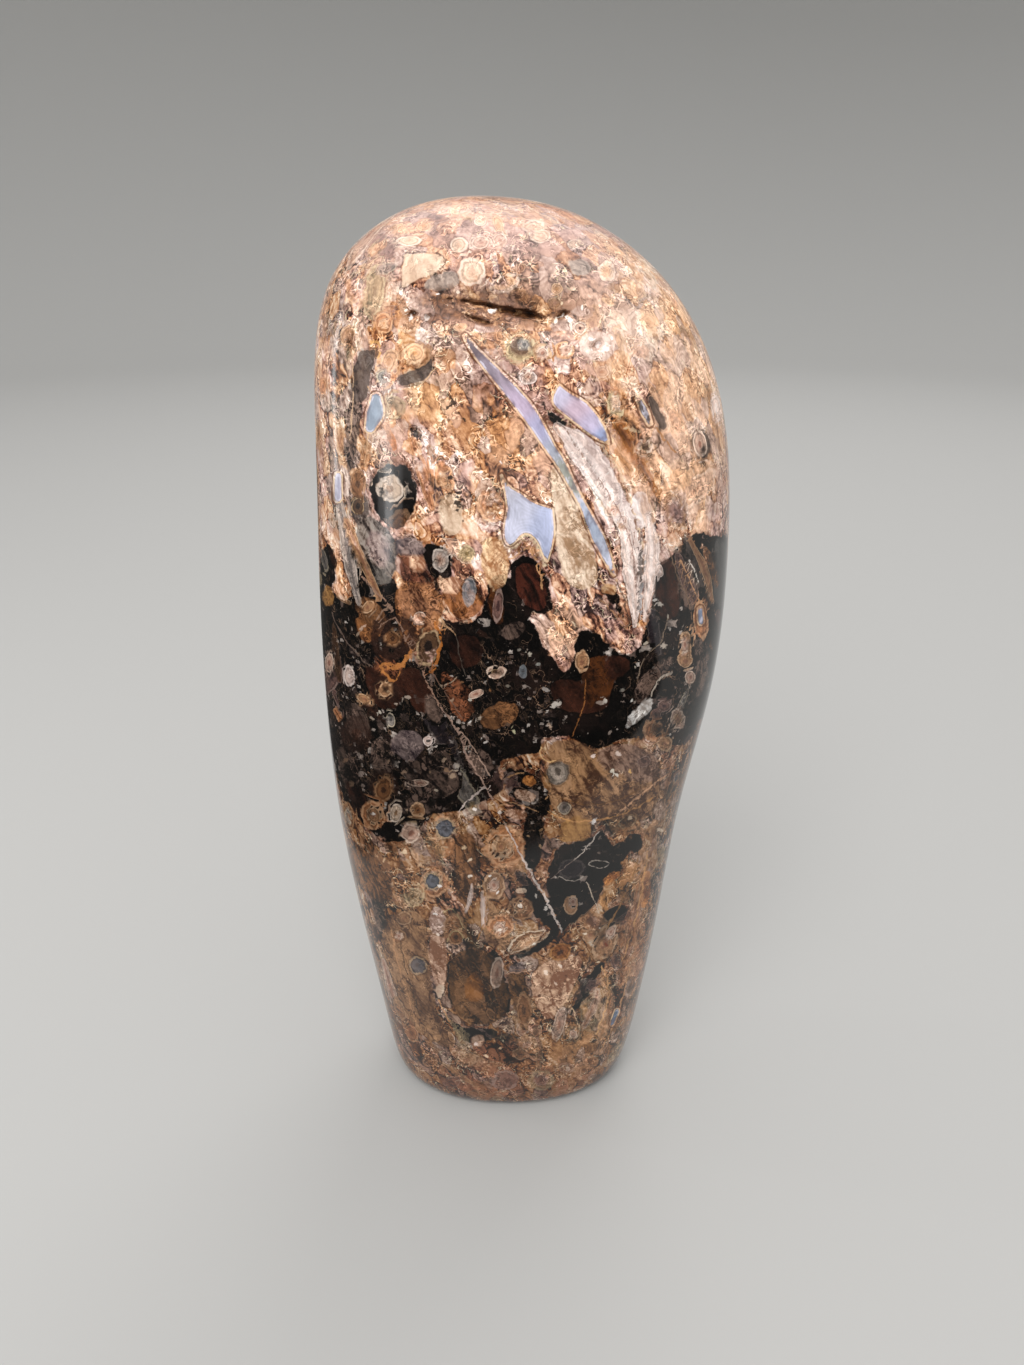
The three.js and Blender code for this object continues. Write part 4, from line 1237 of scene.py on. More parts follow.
# %% Dots
# x, y, size, colour
DOTS = [
    # The white dot at (492, 311) in the crack is a painted highlight.
    (492, 311, 9, "FFFAF4"), (382, 489, 5, "0E0A0A"), (411, 317, 6, "F4ECE4"), (427, 318, 6, "F0E4DC"),
    (406, 310, 4, "E8D8C8"), (438, 294, 4, "F8F0EA"), (580, 328, 5, "1E120E"), (428, 741, 5, "0A0808"),
    (586, 667, 6, "1A0E0A"), (440, 886, 6, "F8EEE6"), (563, 315, 6, "FBF2E8"), (570, 320, 6, "F6EADC"),
    (556, 321, 5, "F4E4D2"), (582, 308, 5, "FAF0E6"), (458, 292, 4, "ECD8C4"), (562, 303, 4, "E8CFAE"),
    (416, 434, 9, "120E0E"), (412, 430, 5, "1A1414"), (420, 438, 5, "161010"), (453, 403, 9, "1E1612"),
    (447, 408, 6, "1A1410"), (464, 419, 6, "15100E"), (491, 418, 6, "1A1210"), (485, 421, 4, "201814"),
    (497, 416, 4, "201612"), (450, 478, 6, "1A1210"), (459, 493, 6, "15100E"), (458, 503, 7, "18120F"),
    (455, 458, 6, "1A1411"), (457, 510, 5, "201612"), (463, 521, 4, "241A14"), (552, 464, 3, "2A1C12"),
    (501, 463, 6, "F4E8E0"), (374, 814, 5, "F6EAE0"), (500, 930, 5, "F4E4D4"), (520, 906, 4, "F0E0D0"),
    (555, 704, 9, "E8DCD0"), (560, 702, 5, "D8CCC0"), (600, 703, 8, "A89488"), (606, 701, 5, "E4D8CC"),
    (546, 690, 7, "B8ACA4"), (550, 726, 7, "D8B8A0"), (514, 732, 5, "D8D0A8"), (632, 700, 4, "F4EEE6"),
    (508, 724, 5, "6E5646"), (474, 809, 5, "F0E4DC"), (500, 812, 5, "E0D0C4"), (546, 908, 6, "F4EAE0"),
    (536, 896, 4, "E8DCD0"), (593, 756, 6, "F0D8CC"), (618, 754, 7, "ECD4C6"), (594, 821, 7, "E8E0DC"),
    (612, 771, 4, "E8DCC8"), (630, 772, 6, "E0B070"), (617, 775, 4, "F0E4D4"), (660, 604, 7, "D0C4B8"),
    (655, 600, 5, "E0D8D0"), (646, 643, 5, "D8C8B4"), (664, 646, 6, "D8C8B8"), (668, 616, 4, "C0B4A4"),
    (635, 667, 4, "B8AC9C"), (622, 690, 5, "8E867C"), (610, 732, 5, "C0ACA0"), (588, 733, 4, "B0A498"),
    (480, 718, 6, "CDB8A4"), (486, 742, 5, "D8CCC4"), (458, 766, 5, "D4C4B4"), (466, 748, 4, "B8A898"),
    (396, 704, 5, "C8B4A4"), (408, 697, 7, "B8A494"), (372, 718, 5, "B0A090"), (380, 712, 4, "D8CCBC"),
    (364, 626, 6, "D8B49C"), (358, 634, 5, "A8907C"), (352, 668, 5, "C8B8AC"), (440, 620, 5, "D8B898"),
    (452, 700, 5, "B89880"), (470, 700, 4, "E0D4C4"), (462, 682, 5, "8A6244"), (490, 690, 5, "9A6A44"),
    (444, 760, 6, "C0A48C"), (452, 776, 7, "D4B498"), (446, 770, 6, "A88468"), (430, 772, 5, "9A7C64"),
    (470, 722, 4, "F0E8E0"), (388, 762, 6, "9A7C68"), (404, 772, 6, "B09078"), (436, 790, 5, "D0BCA8"),
    (508, 686, 5, "7E7468"), (538, 664, 5, "A8A49C"), (530, 654, 4, "C8BCAC"), (520, 650, 4, "8E867C"),
    (346, 760, 6, "8E6E58"), (352, 784, 6, "7E6450"), (660, 830, 7, "D8C0A8"), (646, 826, 5, "C8A888"),
    (630, 818, 5, "C0A890"), (404, 852, 5, "E0C4A4"), (384, 860, 5, "D0AC88"), (392, 884, 5, "B08E70"),
    (470, 860, 5, "E4CCB0"), (464, 848, 5, "D8B894"), (470, 876, 5, "F0E0D0"), (490, 876, 4, "F4ECE4"),
    (498, 892, 5, "F0E4DC"), (436, 914, 6, "F4E8E0"), (438, 934, 5, "E8D4C4"), (508, 912, 4, "E4C8AC"),
    (528, 836, 4, "C8A078"), (540, 846, 4, "D0A880"), (541, 830, 4, "A07C58"), (534, 944, 4, "F0E4D4"),
    (586, 934, 5, "E8D4BC"), (600, 928, 4, "F0E4D8"), (606, 944, 5, "6A2E18"), (598, 962, 4, "E8CCAC"),
    (546, 972, 5, "F4DCC8"), (560, 966, 5, "F0D8C4"), (556, 984, 5, "E8C8B0"), (566, 976, 4, "6E4430"),
    (552, 1000, 4, "7A4C34"), (540, 996, 4, "5E3A28"), (486, 1056, 5, "E4C4A4"),
    (476, 1044, 5, "F0D8CC"), (500, 1048, 4, "D8B490"), (550, 1064, 4, "DDBB98"),
    (530, 1086, 4, "C89C78"), (580, 1078, 4, "C89874"), (598, 345, 9, "EEDCD4"),
    (607, 349, 5, "F4E8E2"), (591, 339, 5, "F8EEE8"), (601, 356, 4, "E8D4CA"), (587, 351, 4, "F4E8E2"),
    (612, 338, 4, "F0E2DA"), (670, 545, 5, "F4E8DC"), (676, 548, 4, "EAD8C4"), (664, 541, 4, "F0E0D0"),
]
CHIP_SEED = 4
SLIMMEST_CHIP = 2.2


def lay_dots():
    """Every point's offset from the dot that is nearest to it, in half-sizes, and its colour.

    The offset is turned by a random angle and one part of it stretched, so each dot is a chip.
    """
    place = np.full((point_count, 3), FAR)
    colour = np.zeros((point_count, 3))
    random = np.random.default_rng(CHIP_SEED)
    for x, y, size, code in DOTS:
        turn, slim = random.uniform(0, math.pi), random.uniform(1, SLIMMEST_CHIP)
        turned = [[math.cos(turn), -math.sin(turn)], [math.sin(turn), math.cos(turn)]]
        offset = (pixel - (x, y)) @ np.array(turned) / (size / 2) * (1, slim)
        away = np.linalg.norm(pixel - (x, y), axis=-1) - size / 2
        wins = (away < place[:, 2]) & (seen > SEEN_WELL)
        place[wins] = np.column_stack([offset, away])[wins]
        colour[wins] = linear(code)
    return np.clip(place, -FAR, FAR), colour


dot_place, dot_colour = lay_dots()
print(len(DOTS), "dots")

# %% [markdown]
# ## The mesh
# The arrays go straight into the mesh, and each field becomes an attribute that the finish reads.

# %% Make the mesh and its attributes
mesh = bpy.data.meshes.new("polished_stone")
mesh.from_pydata((points * METRES).tolist(), [], faces)
mesh.update()
mesh.shade_smooth()


def put_field(name, values):
    """Stores one number, or three, for each point under a name."""
    single = values.ndim == 1
    layer = mesh.attributes.new(name, "FLOAT" if single else "FLOAT_VECTOR", "POINT")
    layer.data.foreach_set("value" if single else "vector", values.astype(np.float32).ravel())


LOW_GROUND = (78.0, 0.17, 0)
fields = {
    "black": black,
    "lilac": lilac,
    "patch": patch,
    "raw": raw,
    "opened": opened,
    "low_ground": smooth(sloping(LOW_GROUND) - points[:, 2], -6, 6),
    "stain_weight": np.minimum(stain_weight, 1),
    "streaked": streaked,
    "chipped": chipped,
    "root_near": root_near,
    "lilac_tone": lilac_tone,
    "patch_dark": patch_dark,
    "patch_light": patch_light,
    "patch_calm": patch_calm,
    "crumbled": crumbled,
    "stilled": stilled,
    "stain": stain,
    "thread_place": thread_place,
    "thread_colour": thread_colour,
    "dot_place": dot_place,
    "dot_colour": dot_colour,
}
for name, values in fields.items():
    put_field(name, values)
for name, values in root.items():
    put_field("root_" + name, values)

stone = add_object("polished_stone", mesh)
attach(stone, "root")
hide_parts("stone")
print(len(mesh.vertices), "points", len(mesh.polygons), "faces", len(mesh.attributes), "attributes")


# %% [markdown]
# ## Writing shader maths as Python
# A finish is easier to read as sums than as boxes and wires. A Wire is one output socket. Adding or
# multiplying wires adds the Math node that does it. Every other node comes from one method.

# %% Wires and nodes
def set_stops(colour_ramp, colours):
    """Gives a colour ramp its stops: a position and a colour code each."""
    while len(colour_ramp.elements) < len(colours):
        colour_ramp.elements.new(1.0)
    for element, (position, code) in zip(colour_ramp.elements, colours):
        element.position = position
        element.color = (*linear(code), 1.0)


class Wire:
    """One output socket of a node tree, which Python's operators work on."""

    def __init__(self, tree, socket=None):
        self.tree = tree
        self.socket = socket

    def node(self, kind, settings=None, links=None, output=0):
        """Adds a node: its settings first, then the values or links of its sockets."""
        made = self.tree.nodes.new(kind)
        for name, value in (settings or {}).items():
            if name == "stops":
                set_stops(made.color_ramp, value)
            else:
                setattr(made, name, value)
        for name, value in (links or {}).items():
            if isinstance(value, Wire):
                self.tree.links.new(value.socket, made.inputs[name])
            else:
                made.inputs[name].default_value = value
        return Wire(self.tree, made.outputs[output])

    def maths(self, operation, *values):
        """A Math node on some wires or numbers."""
        return self.node("ShaderNodeMath", {"operation": operation}, dict(enumerate(values)))

    def __add__(self, other):
        return self.maths("ADD", self, other)

    def __sub__(self, other):
        return self.maths("SUBTRACT", self, other)

    def __mul__(self, other):
        return self.maths("MULTIPLY", self, other)

    def __rsub__(self, other):
        return self.maths("SUBTRACT", other, self)

    def __abs__(self):
        return self.maths("ABSOLUTE", self)

    __radd__ = __add__
    __rmul__ = __mul__


def least(one, two):
    """The smaller of two wires or numbers; the first is a wire."""
    return one.maths("MINIMUM", one, two)


def most(one, two):
    """The larger of two wires or numbers; the first is a wire."""
    return one.maths("MAXIMUM", one, two)


def rise(value, low, high):
    """An S-shaped rise of a wire from 0 at low to 1 at high."""
    settings = {"interpolation_type": "SMOOTHSTEP"}
    return value.node("ShaderNodeMapRange", settings, {"Value": value, "From Min": low, "From Max": high})


def fall(value, low, high):
    """An S-shaped fall of a wire from 1 at low to 0 at high."""
    return 1 - rise(value, low, high)


def band(value, middle, half):
    """1 where a wire is at the middle, falling to 0 at half either side."""
    return fall(abs(value - middle), half * 0.4, half)


def blend(one, other, share):
    """A wire that moves from one number to another as the share goes from 0 to 1."""
    return one + (other - one) * share


def paint(under, over, mask):
    """Lays one colour over another where the mask, a wire, is 1."""
    return mask.node("ShaderNodeMix", {"data_type": "RGBA"}, {0: mask, 6: under, 7: over}, output=2)


def solid(code):
    """A colour code as the four numbers that a socket takes."""
    return (*linear(code), 1.0)


def stops(positions, codes):
    """A ramp's stops: its positions, each with its colour code."""
    return list(zip(positions, codes.split()))


def ramp(value, colours):
    """A wire's value turned into a colour by a ramp with some stops."""
    return value.node("ShaderNodeValToRGB", {"stops": colours}, {"Fac": value}, "Color")


def parts(vector):
    """The three numbers of a vector or colour wire."""
    made = vector.node("ShaderNodeSeparateXYZ", {}, {0: vector}).socket.node
    return [Wire(vector.tree, socket) for socket in made.outputs]


def vector_maths(operation, vector, other):
    """A Vector Math node on a vector wire and a vector, or on a vector wire and a number."""
    links = {0: vector, "Scale" if operation == "SCALE" else 1: other}
    return vector.node("ShaderNodeVectorMath", {"operation": operation}, links)


def scaled(vector, factor):
    """A vector or colour wire times a number."""
    return vector_maths("SCALE", vector, factor)


def stretched(vector, factors):
    """A vector wire times three numbers."""
    return vector_maths("MULTIPLY", vector, factors)


def length(vector):
    """The length of a vector wire."""
    return vector.node("ShaderNodeVectorMath", {"operation": "LENGTH"}, {0: vector}, "Value")


def sine(value):
    """The sine of a wire."""
    return value.maths("SINE", value)


def hypotenuse(one, other):
    """The square root of the sum of the squares of two wires."""
    square = one * one + other * other
    return square.maths("SQRT", square)


# %% [markdown]
# ## The finish, part one: places and noise
# All patterns are solid: they run through the stone and are read at the skin, as in the real thing.
# Coordinates are bent by noise first, which turns round cells into crumbs and straight bands into
# the wandering lines of agate. Fibres are noise drawn out along the way that the roots run.

# %% Material and pattern coordinates
material = bpy.data.materials.new("agatised_palm_root")
material.use_nodes = True
tree = material.node_tree
tree.nodes.clear()
start = Wire(tree)


def field(name, output="Fac"):
    """One of the mesh's attributes: a number, or with the output Vector a vector or colour."""
    return start.node("ShaderNodeAttribute", {"attribute_name": name}, output=output)


def noise(vector, size, detail=3.0, roughness=0.5, output="Fac"):
    """Noise with lumps of a size in millimetres."""
    links = {"Vector": vector, "Scale": 1 / size, "Detail": detail, "Roughness": roughness}
    return vector.node("ShaderNodeTexNoise", {}, links, output)


def tinted(name, factor):
    """A stored colour times a number."""
    return scaled(field(name, "Vector"), factor)


def cells(vector, size, output="Distance", **settings):
    """Voronoi cells of a size in millimetres, with the node's own settings."""
    links = {"Vector": vector, "Scale": 1 / size}
    return vector.node("ShaderNodeTexVoronoi", settings, links, output)


def bent(vector, size, amount):
    """A vector moved by colour noise of a size, by up to about half the amount."""
    wobble = vector_maths("SUBTRACT", noise(vector, size, 2.0, output="Color"), (0.5, 0.5, 0.5))
    return vector_maths("ADD", vector, scaled(wobble, amount))


RUN_ANGLE = math.radians(25)
CRUMB = 0.5
CLOT = 2.2
FIBRE_STRETCH = (1, 1, 0.12)
GROUND_STRETCH = (1, 1, 0.55)

place = scaled(start.node("ShaderNodeTexCoord", output="Object"), 1 / METRES)
fine_bent = bent(place, 0.9, 0.8)
about_y = {"rotation_type": "Y_AXIS"}
along_run = place.node("ShaderNodeVectorRotate", about_y, {"Vector": place, "Angle": RUN_ANGLE})
fibre_place = stretched(bent(along_run, 5.0, 3.0), FIBRE_STRETCH)
ground_place = stretched(along_run, GROUND_STRETCH)
bent_place = bent(bent(ground_place, 6.0, 5.0), 1.6, 1.6)
blotch = noise(bent_place, 5.0, 4.0, 0.55)
mottle = noise(bent_place, 1.5, 5.0, 0.6)
grit = noise(place, 0.45, 2.0, 0.6)
gritty = grit - 0.5
fibre = noise(fibre_place, 0.9, 4.0, 0.6)
crumb = cells(fine_bent, CRUMB)
crumb_tone = parts(cells(fine_bent, CRUMB, "Color"))[0]
clot_place = bent(ground_place, 2.4, 2.6)
clot_tone, clot_hue, _ = parts(cells(clot_place, CLOT, "Color"))
clot_edge = cells(clot_place, CLOT, feature="DISTANCE_TO_EDGE")
wander = noise(bent(place, 3.5, 4.5), 3.2, 3.0, 0.45)
curl = noise(bent(place, 1.6, 2.4), 1.5, 2.0, 0.45)
broken = rise(noise(place, 2.4, 2.0), 0.44, 0.58)
ragged = noise(place, 1.3, 3.0, 0.5) - 0.5
flow = noise(bent(place, 4.5, 5.0), 5.0, 2.0, 0.4)
slow = noise(place, 9.0, 2.0)
lively = rise(noise(place, 3.4, 2.0), 0.38, 0.62) * 0.8 + 0.15
gaps = fall(clot_edge + (mottle - 0.5) * 0.14, 0.02, 0.09) * rise(noise(place, 4.4, 2.0), 0.4, 0.56)

# %% [markdown]
# ## The finish, part two: the ground
# One number says how light the ground is at a place: the sum of slow blotches, clots, crumbs, grit
# and fibres. Rootlets are cells of a Voronoi pattern drawn out along the run, each with its own
# lightness, a dark outline, a pale skin and a core. Curls are thin lines round things that are gone.
# Ramps turn the number into tan stone above, brown below and black between, so the pattern runs on
# across their borders. The small factors in the sums say how strongly each pattern shows. They are
# set one by one, as the levels of each rise, fall and band are.

# %% Ground colours
ROOTLET_SPACING = 1.9
ROOTLET_STRETCH = (1, 1, 0.45)
LAYER_RATE = 80.0
CROWN_LOW, CROWN_HIGH = 139, 148

streaks = field("streaked")
crumbling = field("crumbled")
in_low = rise(field("low_ground") + ragged * 0.8, 0.35, 0.65)
calm = 0.5 + (blotch - 0.5) * (in_low * 0.5 + 0.9) + (mottle - 0.5) * 0.7 + gritty * 0.2
calm = calm + (fibre - 0.5) * (streaks * 2.0 + 0.3)
# On the crown the grain is calmer, pinker and less warm: partly the crown's own colour, partly a painted
# sheen veil.
in_crown = rise(parts(place)[2], CROWN_LOW, CROWN_HIGH)
light = (
    calm
    + (clot_tone - 0.5) * 0.26
    - gaps * (in_low * 0.14 + 0.16)
    + (crumb_tone - 0.5) * (crumbling * 0.2 + 0.1) * lively
    + gritty * lively * 0.3
    + (0.42 - crumb) * (crumbling * 0.34 + 0.06) * lively
)
layers = sine(flow * LAYER_RATE + mottle * 2.0)
layered = rise(noise(place, 5.0, 2.0), 0.44, 0.6)
light = light + layers * layered * (1 - crumbling * 0.6) * 0.13
rootlet_place = stretched(bent(along_run, 1.5, 0.9), ROOTLET_STRETCH)
pick, girth, tone = parts(cells(rootlet_place, ROOTLET_SPACING, "Color"))
rootlet_reach = cells(rootlet_place, ROOTLET_SPACING)
rootlet_size = rootlet_reach.maths("DIVIDE", rootlet_reach, girth * 0.3 + 0.14)
rootlet_size = rootlet_size + (noise(place, 0.7, 2.0) - 0.5) * 0.3
rootlet_clear = rise(pick, 0.4, 0.6) * (1 - most(crumbling, streaks) * 0.5) * (in_low * 0.4 + 0.6)
light = blend(light, calm + (tone - 0.42) * 0.55, fall(rootlet_size, 0.9, 1.0) * rootlet_clear * 0.85)
light = light - band(rootlet_size, 1.02, 0.16) * rootlet_clear * 0.28
light = light + band(rootlet_size, 0.8, 0.16) * rootlet_clear * 0.2
light = light - band(rootlet_size, 0.52, 0.12) * rootlet_clear * 0.14
light = light + fall(rootlet_size, 0.16, 0.3) * rootlet_clear * (0.5 - tone) * 0.9
curls = band(curl, 0.42, 0.03) + band(curl, 0.56, 0.03)
light = light - curls * broken * 0.16 + band(curl, 0.49, 0.03) * broken * 0.22
stilled_here = field("stilled")
# Where the grain's contrast is lowered: on the crown this is partly a painted sheen veil, on the right
# shoulder it is calm grain.
calm_and_sheen = most(in_crown, stilled_here * 0.7)
light = blend(light, light * 0.5 + 0.25, calm_and_sheen) + stilled_here * 0.1
GROUND_STOPS = (0.1, 0.26, 0.38, 0.5, 0.64, 0.8, 1.0)
ORANGE_TAN = stops(GROUND_STOPS, "38241C 7A5440 AC7C5C CC9A7A DEB498 E8CAB0 F6E6D8")
PINK_TAN = stops(GROUND_STOPS, "3A2824 785650 AA8478 CCA294 E0BCAE ECD2C4 F8ECE4")
BROWN = stops(GROUND_STOPS, "100C0A 30221A 583C28 7C5638 A47A54 CAA688 ECD8C6")
AMBER_BROWN = stops(GROUND_STOPS, "26120A 6E3A1C 9C602E C28650 DCAC7C EECEAC FAEEDC")
RED_BROWN = stops(GROUND_STOPS, "110C0B 33221C 5C3C2E 845842 AC8068 CCA892 ECDACE")
SILT = stops((0.1, 0.3, 0.45, 0.6, 0.8, 1.0), "150D08 3A2618 5E402A 805C3E A88464 D0B294")
MAUVE_GREY = stops((0.1, 0.3, 0.5, 0.7, 1.0), "2A2022 665450 A48C84 CAB6AE F0E6E0")
# The crown is pinker: partly its own pink, partly a painted sheen.
pink_and_sheen = most(rise(slow + ragged * 0.2, 0.38, 0.52), in_crown * 0.9)
washed = rise(noise(bent_place, 3.4, 3.0), 0.5, 0.62) * (1 - in_crown * 0.7)
upper_ground = paint(ramp(light, ORANGE_TAN), ramp(light, PINK_TAN), pink_and_sheen)
lower_ground = paint(ramp(light, BROWN), ramp(light, RED_BROWN), pink_and_sheen)
ground = paint(upper_ground, lower_ground, in_low)
ground = paint(ground, scaled(ramp(light, AMBER_BROWN), 1 - in_low * 0.5), washed * 0.55)
silted = rise(noise(bent_place, 5.0, 3.0), 0.47, 0.56) * in_low
ground = paint(ground, ramp(blend(light, calm, 0.6), SILT), silted * 0.8)
# The stains are laid on here, and with them the painted shade, painted reflection and painted sheen of
# some of the bells.
stain_and_light_mask = rise(field("stain_weight") + (blotch - 0.5) * 0.9 + ragged * 0.4, 0.3, 0.75) * 0.75
stain_and_light_colour = tinted("stain", most(light * 1.5 + 0.15, 0.1))
ground = paint(ground, stain_and_light_colour, stain_and_light_mask)
warm_clot = rise(clot_hue, 0.6, 0.68) * (0.55 - in_crown * 0.3)
ground = paint(ground, scaled(ramp(light, AMBER_BROWN), 1 - in_low * 0.45), warm_clot)
grey_clot = fall(clot_hue, 0.2, 0.28) * 0.5
ground = paint(ground, scaled(ramp(light, MAUVE_GREY), 1 - in_low * 0.45), grey_clot)

# %% [markdown]
# ## The finish, part three: lines and specks
# Agate draws the outlines of things that are gone. Where a bent noise passes certain levels, thin
# pale or dark lines follow them, here and there. Black specks of manganese sit in the tan.

# %% Lines and specks
LINE_LEVELS = [(0.42, 0.010, "F2DCBA", 0.5), (0.5, 0.008, "5A3420", 0.4), (0.57, 0.009, "F0D6B0", 0.5),
               (0.63, 0.008, "6A4028", 0.35)]
for level, half, code, strength in LINE_LEVELS:
    ground = paint(ground, solid(code), band(wander, level, half) * broken * strength)
speck = fall(cells(fine_bent, 1.3), 0.1, 0.17) * rise(noise(place, 7.0, 2.0), 0.6, 0.68)
ground = paint(ground, solid("2A1E1A"), speck * (1 - in_low) * 0.8)

# %% [markdown]
# ## The finish, part four: the black
# The black is clear to a little depth, so red-brown clouds show in it. Chips of bark and root float
# there: single cells of a bent Voronoi pattern, at two sizes, picked by chance and more of them
# where the stone is chipped. Pale hairs and grains lie between.

# %% Black with its chips
BLACK_STOPS = (0.0, 0.5, 0.62, 0.74, 0.84, 0.94, 1.0)
BLACK = stops(BLACK_STOPS, "040303 0A0807 14100E 2A201C 584A44 98887C D0C2B8")
CHIP_TONES = stops((0.0, 0.3, 0.5, 0.7, 0.86, 1.0), "201A18 463832 6E5C54 9A8A80 C4B6AC F0E8E2")
# size, how far its outline is bent, and how much commoner chips are where the stone is chipped
CHIP_SIZES = ((1.9, 2.4, 0.30), (0.85, 1.0, 0.36))
chips = field("chipped")
black_depth = field("black") + ragged * 1.5
in_black = rise(black_depth, -0.12, 0.12)
dark = ramp(light * 0.5 + 0.16 + chips * 0.06, BLACK)
cloud = rise(slow + (mottle - 0.5) * 0.6, 0.5, 0.72)
dark = paint(dark, solid("2F1F1A"), cloud * (0.3 + chips * 0.4))
hair = band(wander, 0.47, 0.007) * rise(noise(place, 3.0, 2.0), 0.48, 0.58)
hair = hair + band(mottle, 0.5, 0.012) * chips * 0.35
dark = paint(dark, solid("96765F"), least(hair * (0.25 + chips * 0.6), 1.0))
for chip_size, wobble, share in CHIP_SIZES:
    chip_place = bent(bent(place, chip_size * 1.4, wobble), chip_size * 0.5, wobble * 0.35)
    pick, tone, _ = parts(cells(chip_place, chip_size, "Color", distance="CHEBYCHEV"))
    chip_reach = cells(chip_place, chip_size, distance="CHEBYCHEV")
    inside = fall(chip_reach + gritty * 0.3, 0.24, 0.34)
    chip = rise(pick + chips * share, 0.94, 0.97) * inside
    chip_colour = scaled(ramp(tone * 0.9, CHIP_TONES), 0.3 + light)
    dark = paint(dark, chip_colour, chip * 0.95)
grain = fall(cells(fine_bent, 0.62), 0.07, 0.13) * rise(noise(place, 2.6, 3.0) + chips * 0.06, 0.54, 0.62)
dark = paint(dark, solid("B8A492"), grain * 0.6)
colour = paint(ground, solid("6A3A20"), band(black_depth, -0.25, 0.35) * broken * 0.6)
colour = paint(colour, dark, in_black)

# %% [markdown]
# ## The finish, part five: patches
# A patch keeps the grain of the ground: its colour moves from dark to light with the same number.
# Its edge is ragged, with a faint dark seam round it.

# %% Patches
patch_depth_here = field("patch") + ragged * 0.9
patch_stillness = field("patch_calm")
in_patch = rise(patch_depth_here, -0.1, 0.14)
quiet = most(in_patch * patch_stillness * 0.6, calm_and_sheen * 0.5)
patch_share = rise(blend(light, calm * 0.75 + 0.13, patch_stillness), 0.22, 0.8)
patch_colour = paint(field("patch_dark", "Vector"), field("patch_light", "Vector"), patch_share)
patch_seam = band(patch_depth_here, -0.12, 0.16) * (broken * 0.5 + patch_stillness * 0.4)
colour = paint(colour, scaled(colour, 0.3), patch_seam)
colour = paint(colour, scaled(patch_colour, 1 - in_low * 0.2), in_patch * 0.92)

# %% [markdown]
# ## The finish, part six: roots
# The length of the offset is the root's size there: 0 in its middle and 1 at its skin. Near the
# border between two roots the offset jumps, and there the stored size is the safer one, so the
# larger of the two is used. Rings are a sine of the size. Noise bends all of it.

# %% Roots
RING_RATE = 24.0
skin_clear, rings_clear, cover = parts(field("root_style", "Vector"))
root_size = most(length(field("root_place", "Vector")), field("root_near") - 0.35)
wavy_size = root_size + (noise(place, 0.8, 3.0) - 0.5) * 0.44 + (noise(place, 2.5, 2.0) - 0.5) * 0.6
in_root = fall(wavy_size, 0.9, 1.02) * cover * rise(noise(place, 1.9, 3.0), 0.24, 0.44)
in_core = fall(wavy_size + gritty * 0.2, 0.2, 0.34)
rings = sine(wavy_size * RING_RATE + mottle * 4.0) * rings_clear
body = tinted("root_body", most(calm * 1.2 + 0.4 + (light - calm) * 0.35 + rings * 0.24, 0.1))
root_colour = paint(body, tinted("root_core", calm * 0.9 + 0.55), in_core * 0.9)
skin_broken = rise(noise(place, 1.3, 2.0), 0.34, 0.5) * skin_clear
inner_line = band(wavy_size, 0.7, 0.09) * skin_broken * 0.8
root_colour = paint(root_colour, scaled(root_colour, 0.35), inner_line)
root_skin = tinted("root_skin", calm * 0.7 + 0.6)
root_colour = paint(root_colour, root_skin, band(wavy_size, 0.88, 0.14) * skin_broken)
outer_line = band(wavy_size, 1.04, 0.11) * skin_broken * cover * 0.8
colour = paint(colour, scaled(colour, 0.3), outer_line)
colour = paint(colour, scaled(root_colour, 1 - in_low * 0.28), in_root)
traced = band(curl, 0.49, 0.03) * broken * 0.34 - curls * broken * 0.34
grained = (gritty * 1.1 + (crumb_tone - 0.5) * 0.22) * lively * (1 - in_low * 0.4)
colour = scaled(colour, most(1 + (traced + grained) * (1 - quiet), 0.25))
colour = scaled(colour, 0.97 - in_low * 0.18 - in_black * 0.3)

# %% [markdown]
# ## The finish, part seven: threads, lilac, dots and the raw hollow
# Chalcedony was laid down in bands along the walls of its gap: outside the lens are a thin brown and
# a cream wall, and inside it pales towards its rim. The hollow is raw stone: brown, with sparkles.

# %% Threads
thread_across, thread_along, thread_away = parts(field("thread_place", "Vector"))
thread_across = thread_across + (noise(place, 1.4, 3.0) - 0.5) * 7.0
thread_size = hypotenuse(thread_across, thread_along)
frayed = rise(noise(place, 0.6, 2.0), 0.32, 0.46) * fall(thread_away, 0.2, 0.5)
in_thread = fall(thread_size + ragged * 1.0 + gritty * 1.4, 0.6, 1.2) * frayed
colour = paint(colour, tinted("thread_colour", light * 0.7 + 0.5), in_thread * 0.8)

# %% Lilac
BAND_RATE = 16.0
lilac_depth = field("lilac") + ragged * 0.14
banding = sine(lilac_depth * BAND_RATE + mottle * 3.0)
lilac_shade = 0.9 + (blotch - 0.5) * 0.7 + (fibre - 0.5) * 0.9 + banding * 0.04 + gritty * 0.14
lilac_colour = tinted("lilac_tone", lilac_shade)
wall_noise = noise(place, 2.2, 2.0)
dark_rim = fall(lilac_depth, 0.1, 0.55) * rise(wall_noise, 0.5, 0.62)
lilac_colour = paint(lilac_colour, solid("5E4E56"), dark_rim * 0.6)
pale_rim = band(lilac_depth, 0.12, 0.16) * fall(wall_noise, 0.4, 0.5)
lilac_colour = paint(lilac_colour, solid("DAD4E2"), pale_rim * 0.6)
brown_wall = band(lilac_depth, -0.36, 0.16) * rise(wall_noise, 0.36, 0.5)
colour = paint(colour, solid("5E3620"), brown_wall * 0.8)
cream_wall = band(lilac_depth, -0.14, 0.15) * (0.66 - rise(wall_noise, 0.42, 0.56) * 0.5)
colour = paint(colour, solid("E4C6A2"), cream_wall)
colour = paint(colour, lilac_colour, rise(lilac_depth, -0.08, 0.1))

